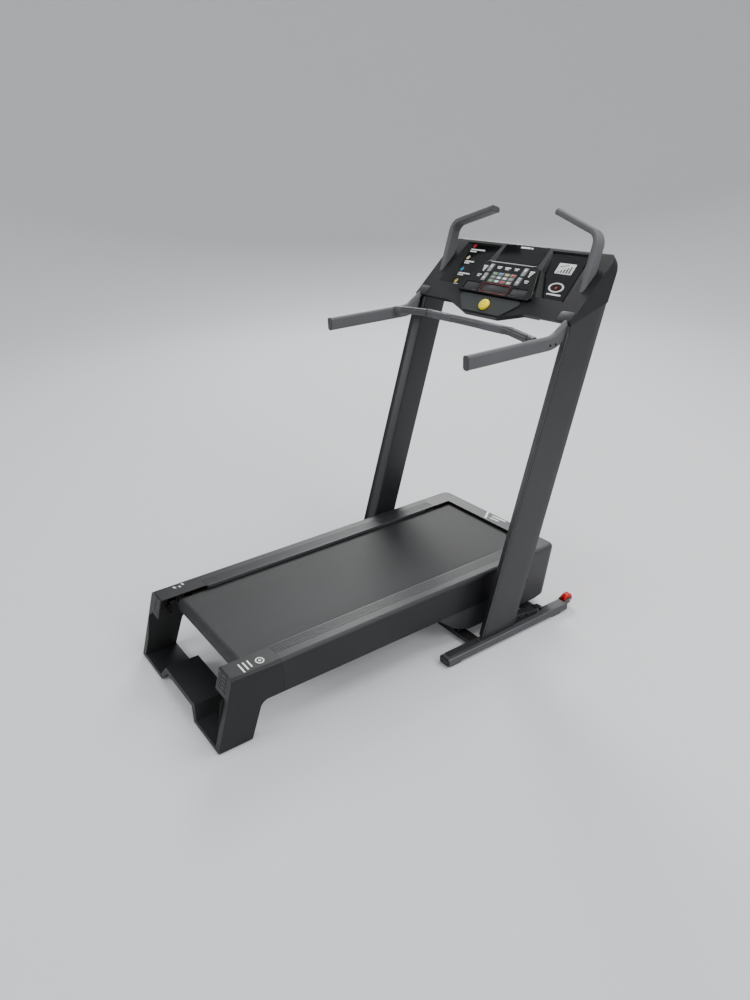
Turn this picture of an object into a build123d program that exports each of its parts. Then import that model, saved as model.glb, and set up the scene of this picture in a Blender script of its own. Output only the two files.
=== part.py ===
from build123d import *

import math
import os

# Incline treadmill with a fixed base and a deck that tilts between the uprights.
# X is the user's right, Y runs from the rear of the deck to the console, Z is up.
# The origin is on the floor, in the middle of the whole machine. Sizes are in millimetres.

os.makedirs("parts", exist_ok=True)

# ---------------------------------------------------------------- driving sizes
overall_length = 1920.0     # rear feet to the console's top edge
running_width = 560.0       # walking belt
deck_width = running_width + 240.0      # over the side skirts
running_height = 282.0      # top of the walking belt
rail_height = 298.0         # top of the foot rails
roller_span = overall_length - 404.0    # between the roller axes
base_width = deck_width + 244.0         # over the base rails
upright_width = deck_width + 194.0      # over the uprights
upright_lean = 18.4         # degrees from vertical
console_slope = 41.8        # degrees from horizontal
console_length = 363.0      # up the sloping face

lean = math.tan(math.radians(upright_lean))
lip_z = 1368.0
rear_y = -overall_length / 2
front_y = overall_length / 2

# general sheet, wall and gap sizes
skin = 3.0                  # moulded covers
running_gap = 0.3           # between faces that move past each other
belt_gap = 6.0              # walking belt to foot rail

# ---------------------------------------------------------------- deck sizes
roller_radius = 30.0
belt_thickness = 2.5
deck_board_thickness = 19.0
rear_roller_y = rear_y + 186.0
front_roller_y = rear_roller_y + roller_span
roller_z = running_height - belt_thickness - roller_radius
board_top = running_height - belt_thickness
board_bottom = board_top - deck_board_thickness
roller_clear = 14.0         # board end to roller surface
roller_face = running_width / 2 + 8.0
axle_radius = 8.0
axle_play = 0.05
beam_width = 30.0
beam_height = 65.0
beam_wall = 2.5
beam_out = deck_width / 2 - 32.0
beam_in = beam_out - beam_width
cushion_height = 10.0
beam_top = board_bottom - cushion_height
beam_bottom = beam_top - beam_height
ear_thickness = 6.0
skirt_bottom = 155.0
edge_round = 18.0
rail_plate = 4.0
rail_in = running_width / 2 + belt_gap
groove_count = 5
groove_pitch = 11.0
groove_width = 3.0
groove_depth = 1.2
rear_seam_y = rear_y + 296.0
front_seam_y = front_y - 340.0
nose_y = front_y - 241.0    # rear edge of the hood over the belt
hood_front_y = front_y - 155.0
hood_slope = 0.237          # forward run of the front face for each unit of height
pan_bottom = 47.0
hood_corner = 40.0         # plan rounding of the two front corners
leg_slope = 0.305           # rearward run of the rear legs for each unit of height
leg_thickness = 32.0
foot_length = 141.0
pad_height = 5.0
foot_plate = 13.0
tunnel_height = 50.0        # floor to the raised middle of the rear foot
tunnel_plate = 16.0
tunnel_half = 150.0
tunnel_run = 38.0

# ---------------------------------------------------------------- drive sizes
motor_y = front_y - 410.0
motor_z = 128.0
motor_radius = 52.0
pulley_x = -(running_width / 2 + 22.0)
motor_out = pulley_x + 52.0
motor_in = motor_out + 210.0
motor_shaft_radius = 8.5
drive_belt_width = 20.0
drive_belt_thickness = 3.0
roller_pulley_radius = 36.0
motor_pulley_radius = 19.0
flywheel_radius = 50.0
flywheel_width = 16.0

# ---------------------------------------------------------------- base sizes
rail_width = 60.0
rail_tube_height = 34.0
rail_wall = 3.0
base_pad_height = 6.0
base_top = base_pad_height + rail_tube_height
rail_x = base_width / 2 - rail_width / 2
rail_rear_y = front_y - 912.0
rail_front_y = front_y - 198.0
rear_tube_y = front_y - 720.0
front_tube_y = front_y - 338.0
cross_tube_width = 50.0
wheel_radius = 27.0
wheel_width = 30.0
wheel_inset = 8.0           # wheel centre inside the rail's centre line
wheel_x = rail_x - wheel_inset
wheel_y = rail_front_y + 38.0
wheel_z = 41.0
wheel_axle_radius = 5.0
upright_thickness = 50.0
upright_depth = 195.0       # along Y
upright_wall = 2.5
upright_top_y = front_y - 268.2      # rear edge at the height of the console's lip
upright_foot_y = upright_top_y - lean * (lip_z - base_top)
upright_x = upright_width / 2 - upright_thickness / 2
foot_inset = 7.0
foot_front_y = upright_foot_y + 352.0
foot_rise = 44.0
foot_toe = 16.0

# ---------------------------------------------------------------- lift sizes
lift_arm_x = deck_width / 2 - 42.0
lift_arm_width = 24.0
lift_arm_height = 40.0
lift_pin_radius = 8.0
lift_lug = 6.0
lift_gap = 1.0
torque_tube_radius = 16.0
torque_tube_back = 45.0     # behind the deck's pivot, clear of the screw at full tilt
base_pivot_y = rear_tube_y
base_pivot_z = 66.0
deck_pivot_y = front_y - 270.0
deck_pivot_z = 120.0
lever_length = 52.0
lever_angle = 252.0         # degrees from +Y, pointing down and back
screw_radius = 8.0
screw_eye = 11.0
screw_pin = 5.0
screw_pin_play = 3.0        # the eye's slot lets the pin rise and fall on its arc
actuator_rear_y = front_y - 660.0
actuator_x = 60.0

# ---------------------------------------------------------------- console sizes
lip_y = front_y - 264.0
lip_drop = 13.0             # the lower edge, down the slope from the lip line
lip_thickness = 14.0
console_top = console_length - lip_drop
console_front_y = front_y
console_toe_y = front_y - 54.0
console_toe_z = 1411.0
console_split = 36.0        # the back cover starts this far under the face
console_corner = 62.0       # rounding of the face's two top corners
console_edge = 8.0
console_top_thickness = 44.0
bib_top_half = 235.0
bib_low_half = 105.0
bib_low = -57.0
bib_thickness = 22.0
module_height = 14.0
module_low = 44.0
module_high = 224.0
tray_low = 54.0
tray_high = 98.0
tray_depth = 3.0
centre_tray_half = 82.0
side_tray_in = 100.0
side_tray_out = 196.0
key_x = 107.0
key_width = 30.0
key_length = 44.0
key_travel = 1.5
key_fit = 0.4
key_proud = 3.0
up_key_s = 181.0
down_key_s = 130.0
display_half = 133.0
display_low = 233.0
display_high = 334.0
glass_thickness = 3.0
glass_proud = 1.0
console_beam_y = front_y - 100.0
console_beam_top = 1456.0
console_beam_size = 40.0
safety_key_radius = 27.0
safety_stem_radius = 9.0
safety_key_s = -8.0
pod_thickness = 4.0
pocket_floor_top = -10.0
pocket_floor_low = -32.0

# ---------------------------------------------------------------- handrail sizes
grip_thickness = 30.0
grip_height = 57.0
grip_wall = 2.5
grip_round = 12.0
handrail_x = upright_x
handrail_z = 1290.0
handrail_rear_y = front_y - 790.0
handrail_bend_y = front_y - 338.0
pulse_bar_z = 1307.0
pulse_mid_y = front_y - 374.0
pulse_end_y = front_y - 425.0
pulse_straight = 293.0
pulse_depth = 26.0
pulse_height = 32.0
push_thickness = 26.0
push_depth = 58.0
push_round = 11.0
push_x = upright_width / 2 - 55.0
push_s = 197.0              # where the push bar leaves the console's face
push_bend_z = 1668.0
push_end_x = 200.0
push_end_z = 1741.0

# ---------------------------------------------------------------- frames and helpers
slope = math.radians(console_slope)
face = Plane(
    origin=(0, lip_y, lip_z),
    x_dir=(1, 0, 0),
    z_dir=(0, -math.sin(slope), math.cos(slope)),
)


def on_face(x, s, n):
    """A point of the console: x across, s up the slope and n out of its face."""
    return face.from_local_coords(Vector(x, s, n))


def save(part, name):
    part.label = name
    export_step(part, f"parts/{name}.step")


def side_block(points, low_x, high_x):
    """A solid with an outline in Y and Z, from low_x to high_x."""
    with BuildPart() as block:
        with BuildSketch(Plane.YZ.offset(low_x)):
            with BuildLine():
                Polyline(*points, close=True)
            make_face()
        extrude(amount=high_x - low_x)
    return block.part


def box_between(low, high):
    size = [h - l for l, h in zip(low, high)]
    centre = [(h + l) / 2 for l, h in zip(low, high)]
    return Pos(*centre) * Box(*size)


def both_sides(make, name):
    """Writes NAME_right from make(), and NAME_left as its mirror image."""
    right = make()
    save(right, f"{name}_right")
    save(mirror(right, about=Plane.YZ), f"{name}_left")


def hood_plane_y(z):
    """The front face of the hood and pan at height z."""
    return hood_front_y - hood_slope * (rail_height - z)


def leg_rear_y(z):
    return rear_y + leg_slope * (z - pad_height)


def upright_rear_y(z):
    return upright_foot_y + lean * (z - base_top)


under_point = on_face(0, -lip_drop, -lip_thickness)
console_under_start = (under_point.Y, under_point.Z)
console_under_rise = (console_toe_z - under_point.Z) / (console_toe_y - under_point.Y)


# ---------------------------------------------------------------- base frame
def base_rail():
    with BuildPart() as rail:
        with BuildSketch(Plane.XZ.offset(-rail_rear_y)):
            with Locations((rail_x, base_pad_height + rail_tube_height / 2)):
                RectangleRounded(rail_width, rail_tube_height, 8)
                RectangleRounded(rail_width - 2 * rail_wall, rail_tube_height - 2 * rail_wall, 5,
                                 mode=Mode.SUBTRACT)
        extrude(amount=-(rail_front_y - rail_rear_y))
        # the front is closed by a plate that carries the wheel's fork
        with BuildSketch(Plane.XZ.offset(-rail_front_y)):
            with Locations((rail_x, base_pad_height + rail_tube_height / 2)):
                RectangleRounded(rail_width, rail_tube_height, 8)
        extrude(amount=-4)
        for side in (-1, 1):
            ear_x = wheel_x + side * (wheel_width / 2 + 4)
            with BuildSketch(Plane.YZ.offset(ear_x - 2.5)):
                with BuildLine():
                    Polyline(
                        (rail_front_y + 3, base_pad_height + 6),
                        (wheel_y, wheel_z - 12),
                        (wheel_y + 10, wheel_z - 8),
                        (wheel_y + 10, wheel_z + 10),
                        (wheel_y - 8, wheel_z + 10),
                        (rail_front_y + 3, base_top - 1),
                        close=True,
                    )
                make_face()
            extrude(amount=5)
        with Locations(Location((wheel_x, wheel_y, wheel_z), (0, 90, 0))):
            Hole(wheel_axle_radius, depth=wheel_width)
    return rail.part


both_sides(base_rail, "base_rail")

with BuildPart() as rail_end_caps:
    for side in (-1, 1):
        with BuildSketch(Plane.XZ.offset(-rail_rear_y)):
            with Locations((side * rail_x, base_pad_height + rail_tube_height / 2)):
                RectangleRounded(rail_width, rail_tube_height, 8)
        extrude(amount=5)
        with BuildSketch(Plane.XZ.offset(-rail_rear_y)):
            with Locations((side * rail_x, base_pad_height + rail_tube_height / 2)):
                RectangleRounded(rail_width - 2 * rail_wall - 0.4, rail_tube_height - 2 * rail_wall - 0.4, 5)
        extrude(amount=-14)
    fillet(rail_end_caps.faces().group_by(Axis.Y)[0].edges(), 3.5)
save(rail_end_caps.part, "rail_end_caps")

tube_in = rail_x - rail_width / 2


def cross_tube(y, name, lugs):
    """A flat tube between the two base rails, with the lift frame's hinge lugs on the rear one."""
    with BuildPart() as tube:
        with BuildSketch(Plane.YZ.offset(-tube_in)):
            with Locations((y, base_top - rail_tube_height / 2)):
                RectangleRounded(cross_tube_width, rail_tube_height - 6, 5)
                RectangleRounded(cross_tube_width - 2 * rail_wall, rail_tube_height - 6 - 2 * rail_wall, 2.5,
                                 mode=Mode.SUBTRACT)
        extrude(amount=2 * tube_in)
        if lugs:
            for side in (-1, 1):
                for step in (-1, 1):
                    inner = lift_arm_width / 2 + lift_gap
                    x = side * lift_arm_x + step * (inner + lift_lug / 2)
                    with BuildSketch(Plane.YZ.offset(x - lift_lug / 2)):
                        with BuildLine():
                            Polyline(
                                (y - 22, base_top - 4),
                                (y + 22, base_top - 4),
                                (y + 13, base_pivot_z + 10),
                                (y - 13, base_pivot_z + 10),
                                close=True,
                            )
                        make_face()
                        with Locations((y, base_pivot_z)):
                            Circle(lift_pin_radius + axle_play, mode=Mode.SUBTRACT)
                    extrude(amount=lift_lug)
    save(tube.part, name)


cross_tube(rear_tube_y, "base_rear_tube", lugs=True)
cross_tube(front_tube_y, "base_front_tube", lugs=False)

with BuildPart() as base_pads:
    for y in (rail_rear_y + 40, rail_front_y - 60):
        for side in (-1, 1):
            with BuildSketch():
                with Locations((side * rail_x, y)):
                    RectangleRounded(rail_width - 12, 70, 10)
            extrude(amount=base_pad_height)
save(base_pads.part, "base_pads")


def upright_outline(inset):
    """The upright's side outline, shrunk by inset, up to the underside of the console."""
    rear = [upright_rear_y(z) for z in (base_top, lip_z)]
    across = inset / math.cos(math.radians(upright_lean))
    low_rear = rear[0] + across
    low_front = rear[0] + upright_depth - across

    def top(y0):
        """Where a long edge that starts at y0 meets the console's sloping underside."""
        rise = console_under_rise
        flat = under_point.Z + rise * (y0 - lean * base_top - under_point.Y)
        z = flat / (1 - rise * lean)
        return (y0 + lean * (z - base_top), z)

    return [(low_rear, base_top), (low_front, base_top), top(low_front), top(low_rear)]


def upright_solid(inset, low_x, high_x, radius):
    body = side_block(upright_outline(inset), low_x, high_x)
    long_edges = body.edges().filter_by(lambda e: e.length > 1000)
    return fillet(long_edges, radius)


upright_in = upright_x - upright_thickness / 2
upright_out = upright_x + upright_thickness / 2


def upright():
    outer = upright_solid(0, upright_in, upright_out, 11)
    inner = upright_solid(upright_wall, upright_in + upright_wall, upright_out - upright_wall, 8.5)
    # a shadow groove down the outer face, behind the rear edge
    groove_low = upright_rear_y(base_top + 60) + 15
    groove = side_block(
        [
            (groove_low, base_top + 60),
            (groove_low + 3, base_top + 60),
            (groove_low + 3 + lean * 1230, base_top + 1290),
            (groove_low + lean * 1230, base_top + 1290),
        ],
        upright_out - 1.2,
        upright_out + 1,
    )
    return outer - inner - groove


both_sides(upright, "upright")


def upright_foot():
    """The low cover in front of the upright, on top of the base rail."""
    rear = upright_foot_y + upright_depth
    points = [
        (rear, base_top),
        (foot_front_y, base_top),
        (foot_front_y, base_top + foot_toe),
        (rear + lean * foot_rise, base_top + foot_rise),
    ]
    low_x = upright_in + 1
    high_x = upright_out - foot_inset
    cover = side_block(points, low_x, high_x)
    top_edges = cover.edges().filter_by(
        lambda e: e.center().Z > base_top + 5 and abs(e.center().X - (low_x + high_x) / 2) > 5
        and e.center().Y > rear + 30
    )
    return fillet(top_edges, 5) - upright_solid(0, upright_in, upright_out, 11)


both_sides(upright_foot, "upright_foot")

with BuildPart() as base_bolts:
    for side in (-1, 1):
        # wheel axles
        with BuildSketch(Plane.YZ.offset(side * wheel_x - (wheel_width / 2 + 9))):
            with Locations((wheel_y, wheel_z)):
                Circle(wheel_axle_radius - axle_play)
        extrude(amount=wheel_width + 18)
        # bolt heads in front of the foot cover
        with BuildSketch(Plane.XY.offset(base_top)):
            with Locations(*[(side * upright_x, foot_front_y + 20 + 22 * i) for i in range(2)]):
                RegularPolygon(6, 6)
        extrude(amount=5)
save(base_bolts.part, "base_bolts")

for side, name in ((-1, "left"), (1, "right")):
    with BuildPart() as wheel:
        with BuildSketch(Plane.YZ.offset(side * wheel_x - wheel_width / 2)):
            with Locations((wheel_y, wheel_z)):
                Circle(wheel_radius)
                Circle(wheel_axle_radius + axle_play, mode=Mode.SUBTRACT)
        extrude(amount=wheel_width)
        rims = wheel.edges().filter_by(GeomType.CIRCLE).group_by(SortBy.RADIUS)[-1]
        fillet(rims, 6)
    save(wheel.part, f"transport_wheel_{name}")

# ---------------------------------------------------------------- handrails and pulse bar
handrail_top_y = handrail_bend_y + 140
handrail_top_z = handrail_z + 88


def grip_section(plane, thickness, height, inset):
    with BuildSketch(plane) as section:
        RectangleRounded(thickness - 2 * inset, height - 2 * inset, grip_round - inset)
    return section.sketch


def handrail():
    with BuildLine() as path:
        FilletPolyline(
            (handrail_x, handrail_rear_y, handrail_z),
            (handrail_x, handrail_bend_y, handrail_z),
            (handrail_x, handrail_top_y, handrail_top_z),
            radius=110,
        )
    start = Plane(origin=path.line @ 0, x_dir=(1, 0, 0), z_dir=path.line % 0)
    outer = sweep(grip_section(start, grip_thickness, grip_height, 0), path=path.line)
    inner = sweep(grip_section(start, grip_thickness, grip_height, grip_wall), path=path.line)
    return outer - inner - upright_solid(-0.02, upright_in, upright_out, 11) - console_block


def console_points(inset):
    """The console's side outline, shrunk by inset."""
    top = on_face(0, console_top, 0)
    low = on_face(0, -lip_drop, 0)
    outline = [
        (low.Y, low.Z),
        (top.Y, top.Z),
        (console_front_y, top.Z - console_top_thickness),
        (console_toe_y, console_toe_z),
        console_under_start,
    ]
    return outline if not inset else shrink(outline, inset)


def shrink(points, inset):
    """Moves each side of a convex outline in by inset."""
    count = len(points)
    middle = (sum(p[0] for p in points) / count, sum(p[1] for p in points) / count)
    lines = []
    for i in range(count):
        (y0, z0), (y1, z1) = points[i], points[(i + 1) % count]
        length = math.hypot(y1 - y0, z1 - z0)
        ny, nz = -(z1 - z0) / length, (y1 - y0) / length
        if (middle[0] - y0) * ny + (middle[1] - z0) * nz < 0:
            ny, nz = -ny, -nz
        lines.append((ny, nz, ny * y0 + nz * z0 + inset))
    corners = []
    for i in range(count):
        a1, b1, c1 = lines[i - 1]
        a2, b2, c2 = lines[i]
        det = a1 * b2 - a2 * b1
        corners.append(((c1 * b2 - c2 * b1) / det, (a1 * c2 - a2 * c1) / det))
    return corners


def console_solid(inset):
    """The console as a closed form with round top corners, shrunk by inset."""
    half = console_half - inset
    block = side_block(console_points(inset), -half, half)
    with BuildPart() as column:
        with BuildSketch(face.offset(30)):
            with Locations((0, console_top - inset - 300)):
                Rectangle(2 * half, 600)
            fillet([v for v in vertices() if v.Y > console_top - inset - 1], console_corner - inset)
        extrude(amount=-420)
    return block & column.part


console_half = upright_width / 2
console_block = console_solid(0)
both_sides(handrail, "handrail")


inner_face = handrail_x - grip_thickness / 2
pulse_reach = 1.12          # the bent ends run on into the handrails before they are cut
end_x = pulse_straight + (inner_face - pulse_straight) * pulse_reach
end_y = pulse_mid_y + (pulse_end_y - pulse_mid_y) * pulse_reach

with BuildPart() as pulse_bar:
    with BuildLine() as pulse_path:
        FilletPolyline(
            (-end_x, end_y, pulse_bar_z),
            (-pulse_straight, pulse_mid_y, pulse_bar_z),
            (pulse_straight, pulse_mid_y, pulse_bar_z),
            (end_x, end_y, pulse_bar_z),
            radius=70,
        )
    with BuildSketch(Plane(origin=pulse_path.line @ 0, x_dir=(0, 0, 1), z_dir=pulse_path.line % 0)):
        RectangleRounded(pulse_height, pulse_depth, 9)
    sweep()
    # the ends are cut flat against the handrails
    split(bisect_by=Plane.YZ.offset(inner_face), keep=Keep.BOTTOM)
    split(bisect_by=Plane.YZ.offset(-inner_face), keep=Keep.TOP)
save(pulse_bar.part, "pulse_bar")

with BuildPart() as pulse_plates:
    for side in (-1, 1):
        with BuildSketch(Plane.YZ.offset(side * 165 - 65)):
            with Locations((pulse_mid_y, pulse_bar_z)):
                RectangleRounded(pulse_depth + 2.4, pulse_height + 2.4, 10.2)
                RectangleRounded(pulse_depth + 0.02, pulse_height + 0.02, 9, mode=Mode.SUBTRACT)
            # the plate covers the rear half, where the hand holds it
            with Locations((pulse_mid_y + 20 + 2, pulse_bar_z)):
                Rectangle(40, 60, mode=Mode.SUBTRACT)
        extrude(amount=130)
save(pulse_plates.part, "pulse_plates")


# ---------------------------------------------------------------- push bars
def push_path():
    """From the beam inside the console, out of its face, to the bend and the free end."""
    out = on_face(push_x, push_s, 0)
    low = console_beam_top - 20
    return [
        (push_x, out.Y + lean * (low - out.Z), low),
        (push_x, out.Y + lean * (push_bend_z - out.Z), push_bend_z),
        (push_end_x, out.Y + lean * (push_end_z - out.Z), push_end_z),
    ]


def push_sweep(inset, points):
    with BuildLine() as path:
        FilletPolyline(*points, radius=55)
    start = Plane(origin=path.line @ 0, x_dir=(1, 0, 0), z_dir=path.line % 0)
    with BuildSketch(start) as section:
        RectangleRounded(push_thickness - 2 * inset, push_depth - 2 * inset, push_round - inset)
    return sweep(section.sketch, path=path.line)


def push_bar():
    points = push_path()
    bar = push_sweep(0, points) - push_sweep(grip_wall, points)
    # the foot is cut level, to stand on the beam
    return split(bar, bisect_by=Plane.XY.offset(console_beam_top), keep=Keep.TOP)


both_sides(push_bar, "push_bar")

cap_thickness = 4.0


def grip_cap(origin, direction, x_dir, thickness, height, plug_round):
    """A rounded plug over the open end of a grip tube."""
    with BuildPart() as cap:
        with BuildSketch(Plane(origin=origin, x_dir=x_dir, z_dir=direction)):
            RectangleRounded(thickness + 1.5, height + 1.5, grip_round)
        extrude(amount=cap_thickness)
        fillet(cap.faces().sort_by(Axis(origin, direction))[-1].edges(), 2.5)
        with BuildSketch(Plane(origin=origin, x_dir=x_dir, z_dir=direction)):
            RectangleRounded(thickness - 2 * grip_wall - 0.4, height - 2 * grip_wall - 0.4, plug_round)
        extrude(amount=-18)
    return cap.part


handrail_cap = grip_cap(
    (handrail_x, handrail_rear_y, handrail_z), (0, -1, 0), (1, 0, 0), grip_thickness, grip_height,
    grip_round - grip_wall,
)
push_bend, push_end = (Vector(*p) for p in push_path()[1:])
push_axis = (push_end - push_bend).normalized()
lean_y = Vector(0, math.cos(math.radians(upright_lean)), -math.sin(math.radians(upright_lean)))
push_cap = grip_cap(
    push_end, push_axis, push_axis.cross(lean_y), push_thickness, push_depth, push_round - grip_wall
)
grip_end_caps = Compound(
    [handrail_cap, mirror(handrail_cap, about=Plane.YZ), push_cap, mirror(push_cap, about=Plane.YZ)]
)
save(grip_end_caps, "grip_end_caps")

# ---------------------------------------------------------------- console shells
pocket_out = upright_width / 2 - 97
pocket_surface = [(156, 322), (172, 214), (238, 78), (pocket_out, 78), (pocket_out - 8, 322)]
pocket_floor = [(164, 318), (180, 214), (247, 92), (pocket_out - 39, 92), (pocket_out - 38, 318)]


floor_tilt = math.atan2(pocket_floor_top - pocket_floor_low, 318 - 92)
floor_origin = on_face(0, 92, pocket_floor_low)
floor_normal = face.z_dir * math.cos(floor_tilt) - face.y_dir * math.sin(floor_tilt)
floor_plane = Plane(origin=floor_origin, x_dir=(1, 0, 0), z_dir=floor_normal)
# the floor's outline laid out on its own plane
pocket_floor_outline = [(x, (s - 92) / math.cos(floor_tilt)) for x, s in pocket_floor]


def pocket(grow, deeper):
    """The side pocket's space on the right, or the tray round it when it is grown."""
    with BuildPart() as space:
        with BuildSketch(face.offset(0 if grow else 0.01)):
            Polygon(*pocket_surface, align=None)
            if grow:
                offset(amount=grow)
        with BuildSketch(floor_plane.offset(-deeper)):
            Polygon(*pocket_floor_outline, align=None)
            if grow:
                offset(amount=grow)
        loft()
    return space.part


face_axis = Axis(face.origin, face.z_dir)
# the face's upper rim is one smooth chain, so its top edge carries the rounding all round
top_rim = console_block.faces().sort_by(face_axis)[-1].edges().sort_by(Axis.Z)[-1]
with BuildPart() as bib:
    with BuildSketch(face):
        with BuildLine():
            Polyline(
                (-320, 20),
                (-320, -lip_drop),
                (-bib_top_half, -lip_drop),
                (-bib_low_half, bib_low),
                (bib_low_half, bib_low),
                (bib_top_half, -lip_drop),
                (320, -lip_drop),
                (320, 20),
                close=True,
            )
        make_face()
        fillet([v for v in vertices() if abs(v.X) < 300], 45)
    extrude(amount=-bib_thickness)
console_outer = fillet(top_rim, console_edge) + bib.part
console_cavity = console_solid(skin)

right_tray = pocket(skin, skin)
right_space = pocket(0, 0)
under_face = face.offset(-console_split)

shell = console_outer - console_cavity
shell = shell + right_tray + mirror(right_tray, about=Plane.YZ)
shell = shell - right_space - mirror(right_space, about=Plane.YZ)
push_hole = push_sweep(-1.0, push_path())
shell = shell - push_hole - mirror(push_hole, about=Plane.YZ)
display_pocket = face * box_between(
    (-display_half - key_fit, display_low - key_fit, glass_proud - glass_thickness),
    (display_half + key_fit, display_high + key_fit, 5),
)
stem_bore = face * (Pos(0, safety_key_s, 0) * Cylinder(safety_stem_radius + 0.5, 30))
fascia = split(shell - display_pocket - stem_bore, bisect_by=under_face, keep=Keep.TOP)
back = split(shell, bisect_by=under_face, keep=Keep.BOTTOM)


def largest(shape):
    return shape.solids().sort_by(SortBy.VOLUME)[-1]


save(largest(fascia), "console_fascia")
save(largest(back), "console_back")

with BuildPart() as display_glass:
    with BuildSketch(face.offset(glass_proud - glass_thickness)):
        with Locations((0, (display_low + display_high) / 2)):
            RectangleRounded(2 * display_half, display_high - display_low, 8)
    extrude(amount=glass_thickness)
    fillet(display_glass.faces().sort_by(Axis(face.origin, face.z_dir))[-1].edges(), 0.6)
save(display_glass.part, "display_glass")

with BuildPart() as side_panels:
    for side in (-1, 1):
        with BuildSketch(floor_plane):
            Polygon(*[(side * x, y) for x, y in pocket_floor_outline], align=None)
            offset(amount=-2.5)
        extrude(amount=2)
save(side_panels.part, "side_panels")

with BuildPart() as key_panel:
    with BuildSketch(face):
        Polygon(
            (-246, module_low), (246, module_low), (172, 212), (146, module_high), (-146, module_high),
            (-172, 212), align=None,
        )
        fillet([v for v in vertices() if v.Y < module_low + 20], 22)
    extrude(amount=module_height, taper=12)
    top_plane = face.offset(module_height)
    fillet(key_panel.faces().sort_by(Axis(face.origin, face.z_dir))[-1].edges(), 2.5)
    with BuildSketch(top_plane):
        with Locations((0, (tray_low + tray_high) / 2)):
            RectangleRounded(2 * centre_tray_half, tray_high - tray_low, 5)
        side_tray_x = (side_tray_in + side_tray_out) / 2
        with Locations((-side_tray_x, (tray_low + tray_high) / 2), (side_tray_x, (tray_low + tray_high) / 2)):
            RectangleRounded(side_tray_out - side_tray_in, tray_high - tray_low, 5)
    extrude(amount=-tray_depth, mode=Mode.SUBTRACT)
    with BuildSketch(top_plane):
        with Locations(*[(x, s) for x in (-key_x, key_x) for s in (down_key_s, up_key_s)]):
            RectangleRounded(key_width + 2 * key_fit, key_length + 2 * key_fit, 5 + key_fit)
    extrude(amount=-7, mode=Mode.SUBTRACT)
save(key_panel.part, "key_panel")

key_names = {
    "key_incline_up": (-key_x, up_key_s),
    "key_incline_down": (-key_x, down_key_s),
    "key_speed_up": (key_x, up_key_s),
    "key_speed_down": (key_x, down_key_s),
}
for name, (x, s) in key_names.items():
    with BuildPart() as key:
        with BuildSketch(face.offset(module_height - 7 + key_travel + 0.5)):
            with Locations((x, s)):
                RectangleRounded(key_width, key_length, 5)
        extrude(amount=7 - key_travel - 0.5 + key_proud)
        fillet(key.faces().sort_by(Axis(face.origin, face.z_dir))[-1].edges(), 1.5)
    save(key.part, name)

with BuildPart() as key_pod:
    with BuildSketch(face):
        Polygon((-208, 40), (208, 40), (118, -49), (-118, -49), align=None)
        fillet(vertices(), 14)
        with Locations((0, safety_key_s)):
            Circle(safety_stem_radius + 0.5, mode=Mode.SUBTRACT)
    extrude(amount=pod_thickness)
save(key_pod.part, "key_pod")

with BuildPart() as safety_key:
    with BuildSketch(face.offset(pod_thickness + 0.4)):
        with Locations((0, safety_key_s)):
            Circle(safety_key_radius)
    extrude(amount=10)
    fillet(safety_key.edges().filter_by(GeomType.CIRCLE).sort_by(Axis(face.origin, face.z_dir))[-1], 4)
    with BuildSketch(face.offset(-8)):
        with Locations((0, safety_key_s)):
            Circle(safety_stem_radius)
    extrude(amount=9 + pod_thickness)
save(safety_key.part, "safety_key")

with BuildPart() as console_board:
    with BuildSketch(face.offset(-24)):
        with Locations((0, 132)):
            RectangleRounded(280, 150, 4)
    extrude(amount=1.6)
    # standoffs up to the inside of the fascia
    with BuildSketch(face.offset(-22.4)):
        with Locations(*[(x, s) for x in (-130, 130) for s in (67, 197)]):
            Circle(4)
    extrude(amount=22.4 - skin)
    with BuildSketch(face.offset(-22.4)):
        with Locations((-90, 110), (20, 150), (90, 110)):
            Rectangle(36, 36)
    extrude(amount=6)
save(console_board.part, "console_board")

beam_half = console_half - skin - 6
with BuildPart() as console_beam:
    with BuildSketch(Plane.YZ.offset(-beam_half)):
        with Locations((console_beam_y, console_beam_top - console_beam_size / 2)):
            RectangleRounded(console_beam_size, console_beam_size, 5)
            RectangleRounded(console_beam_size - 5, console_beam_size - 5, 3, mode=Mode.SUBTRACT)
    extrude(amount=2 * beam_half)
# posts carry the beam on the floor of the back cover, over the uprights
posts = [
    box_between(
        (side * upright_x - 16, console_beam_y - 15, console_under_start[1]),
        (side * upright_x + 16, console_beam_y + 15, console_beam_top - console_beam_size + 0.5),
    )
    & console_cavity
    for side in (-1, 1)
]
console_beam_solid = console_beam.part + posts
save(console_beam_solid, "console_beam")

# ---------------------------------------------------------------- deck frame
beam_rear_y = rear_roller_y - 46
beam_front_y = front_roller_y + 12
bolt_x = (beam_in + beam_out) / 2
bolt_z = roller_z - 28
bolt_radius = 5.0


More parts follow.
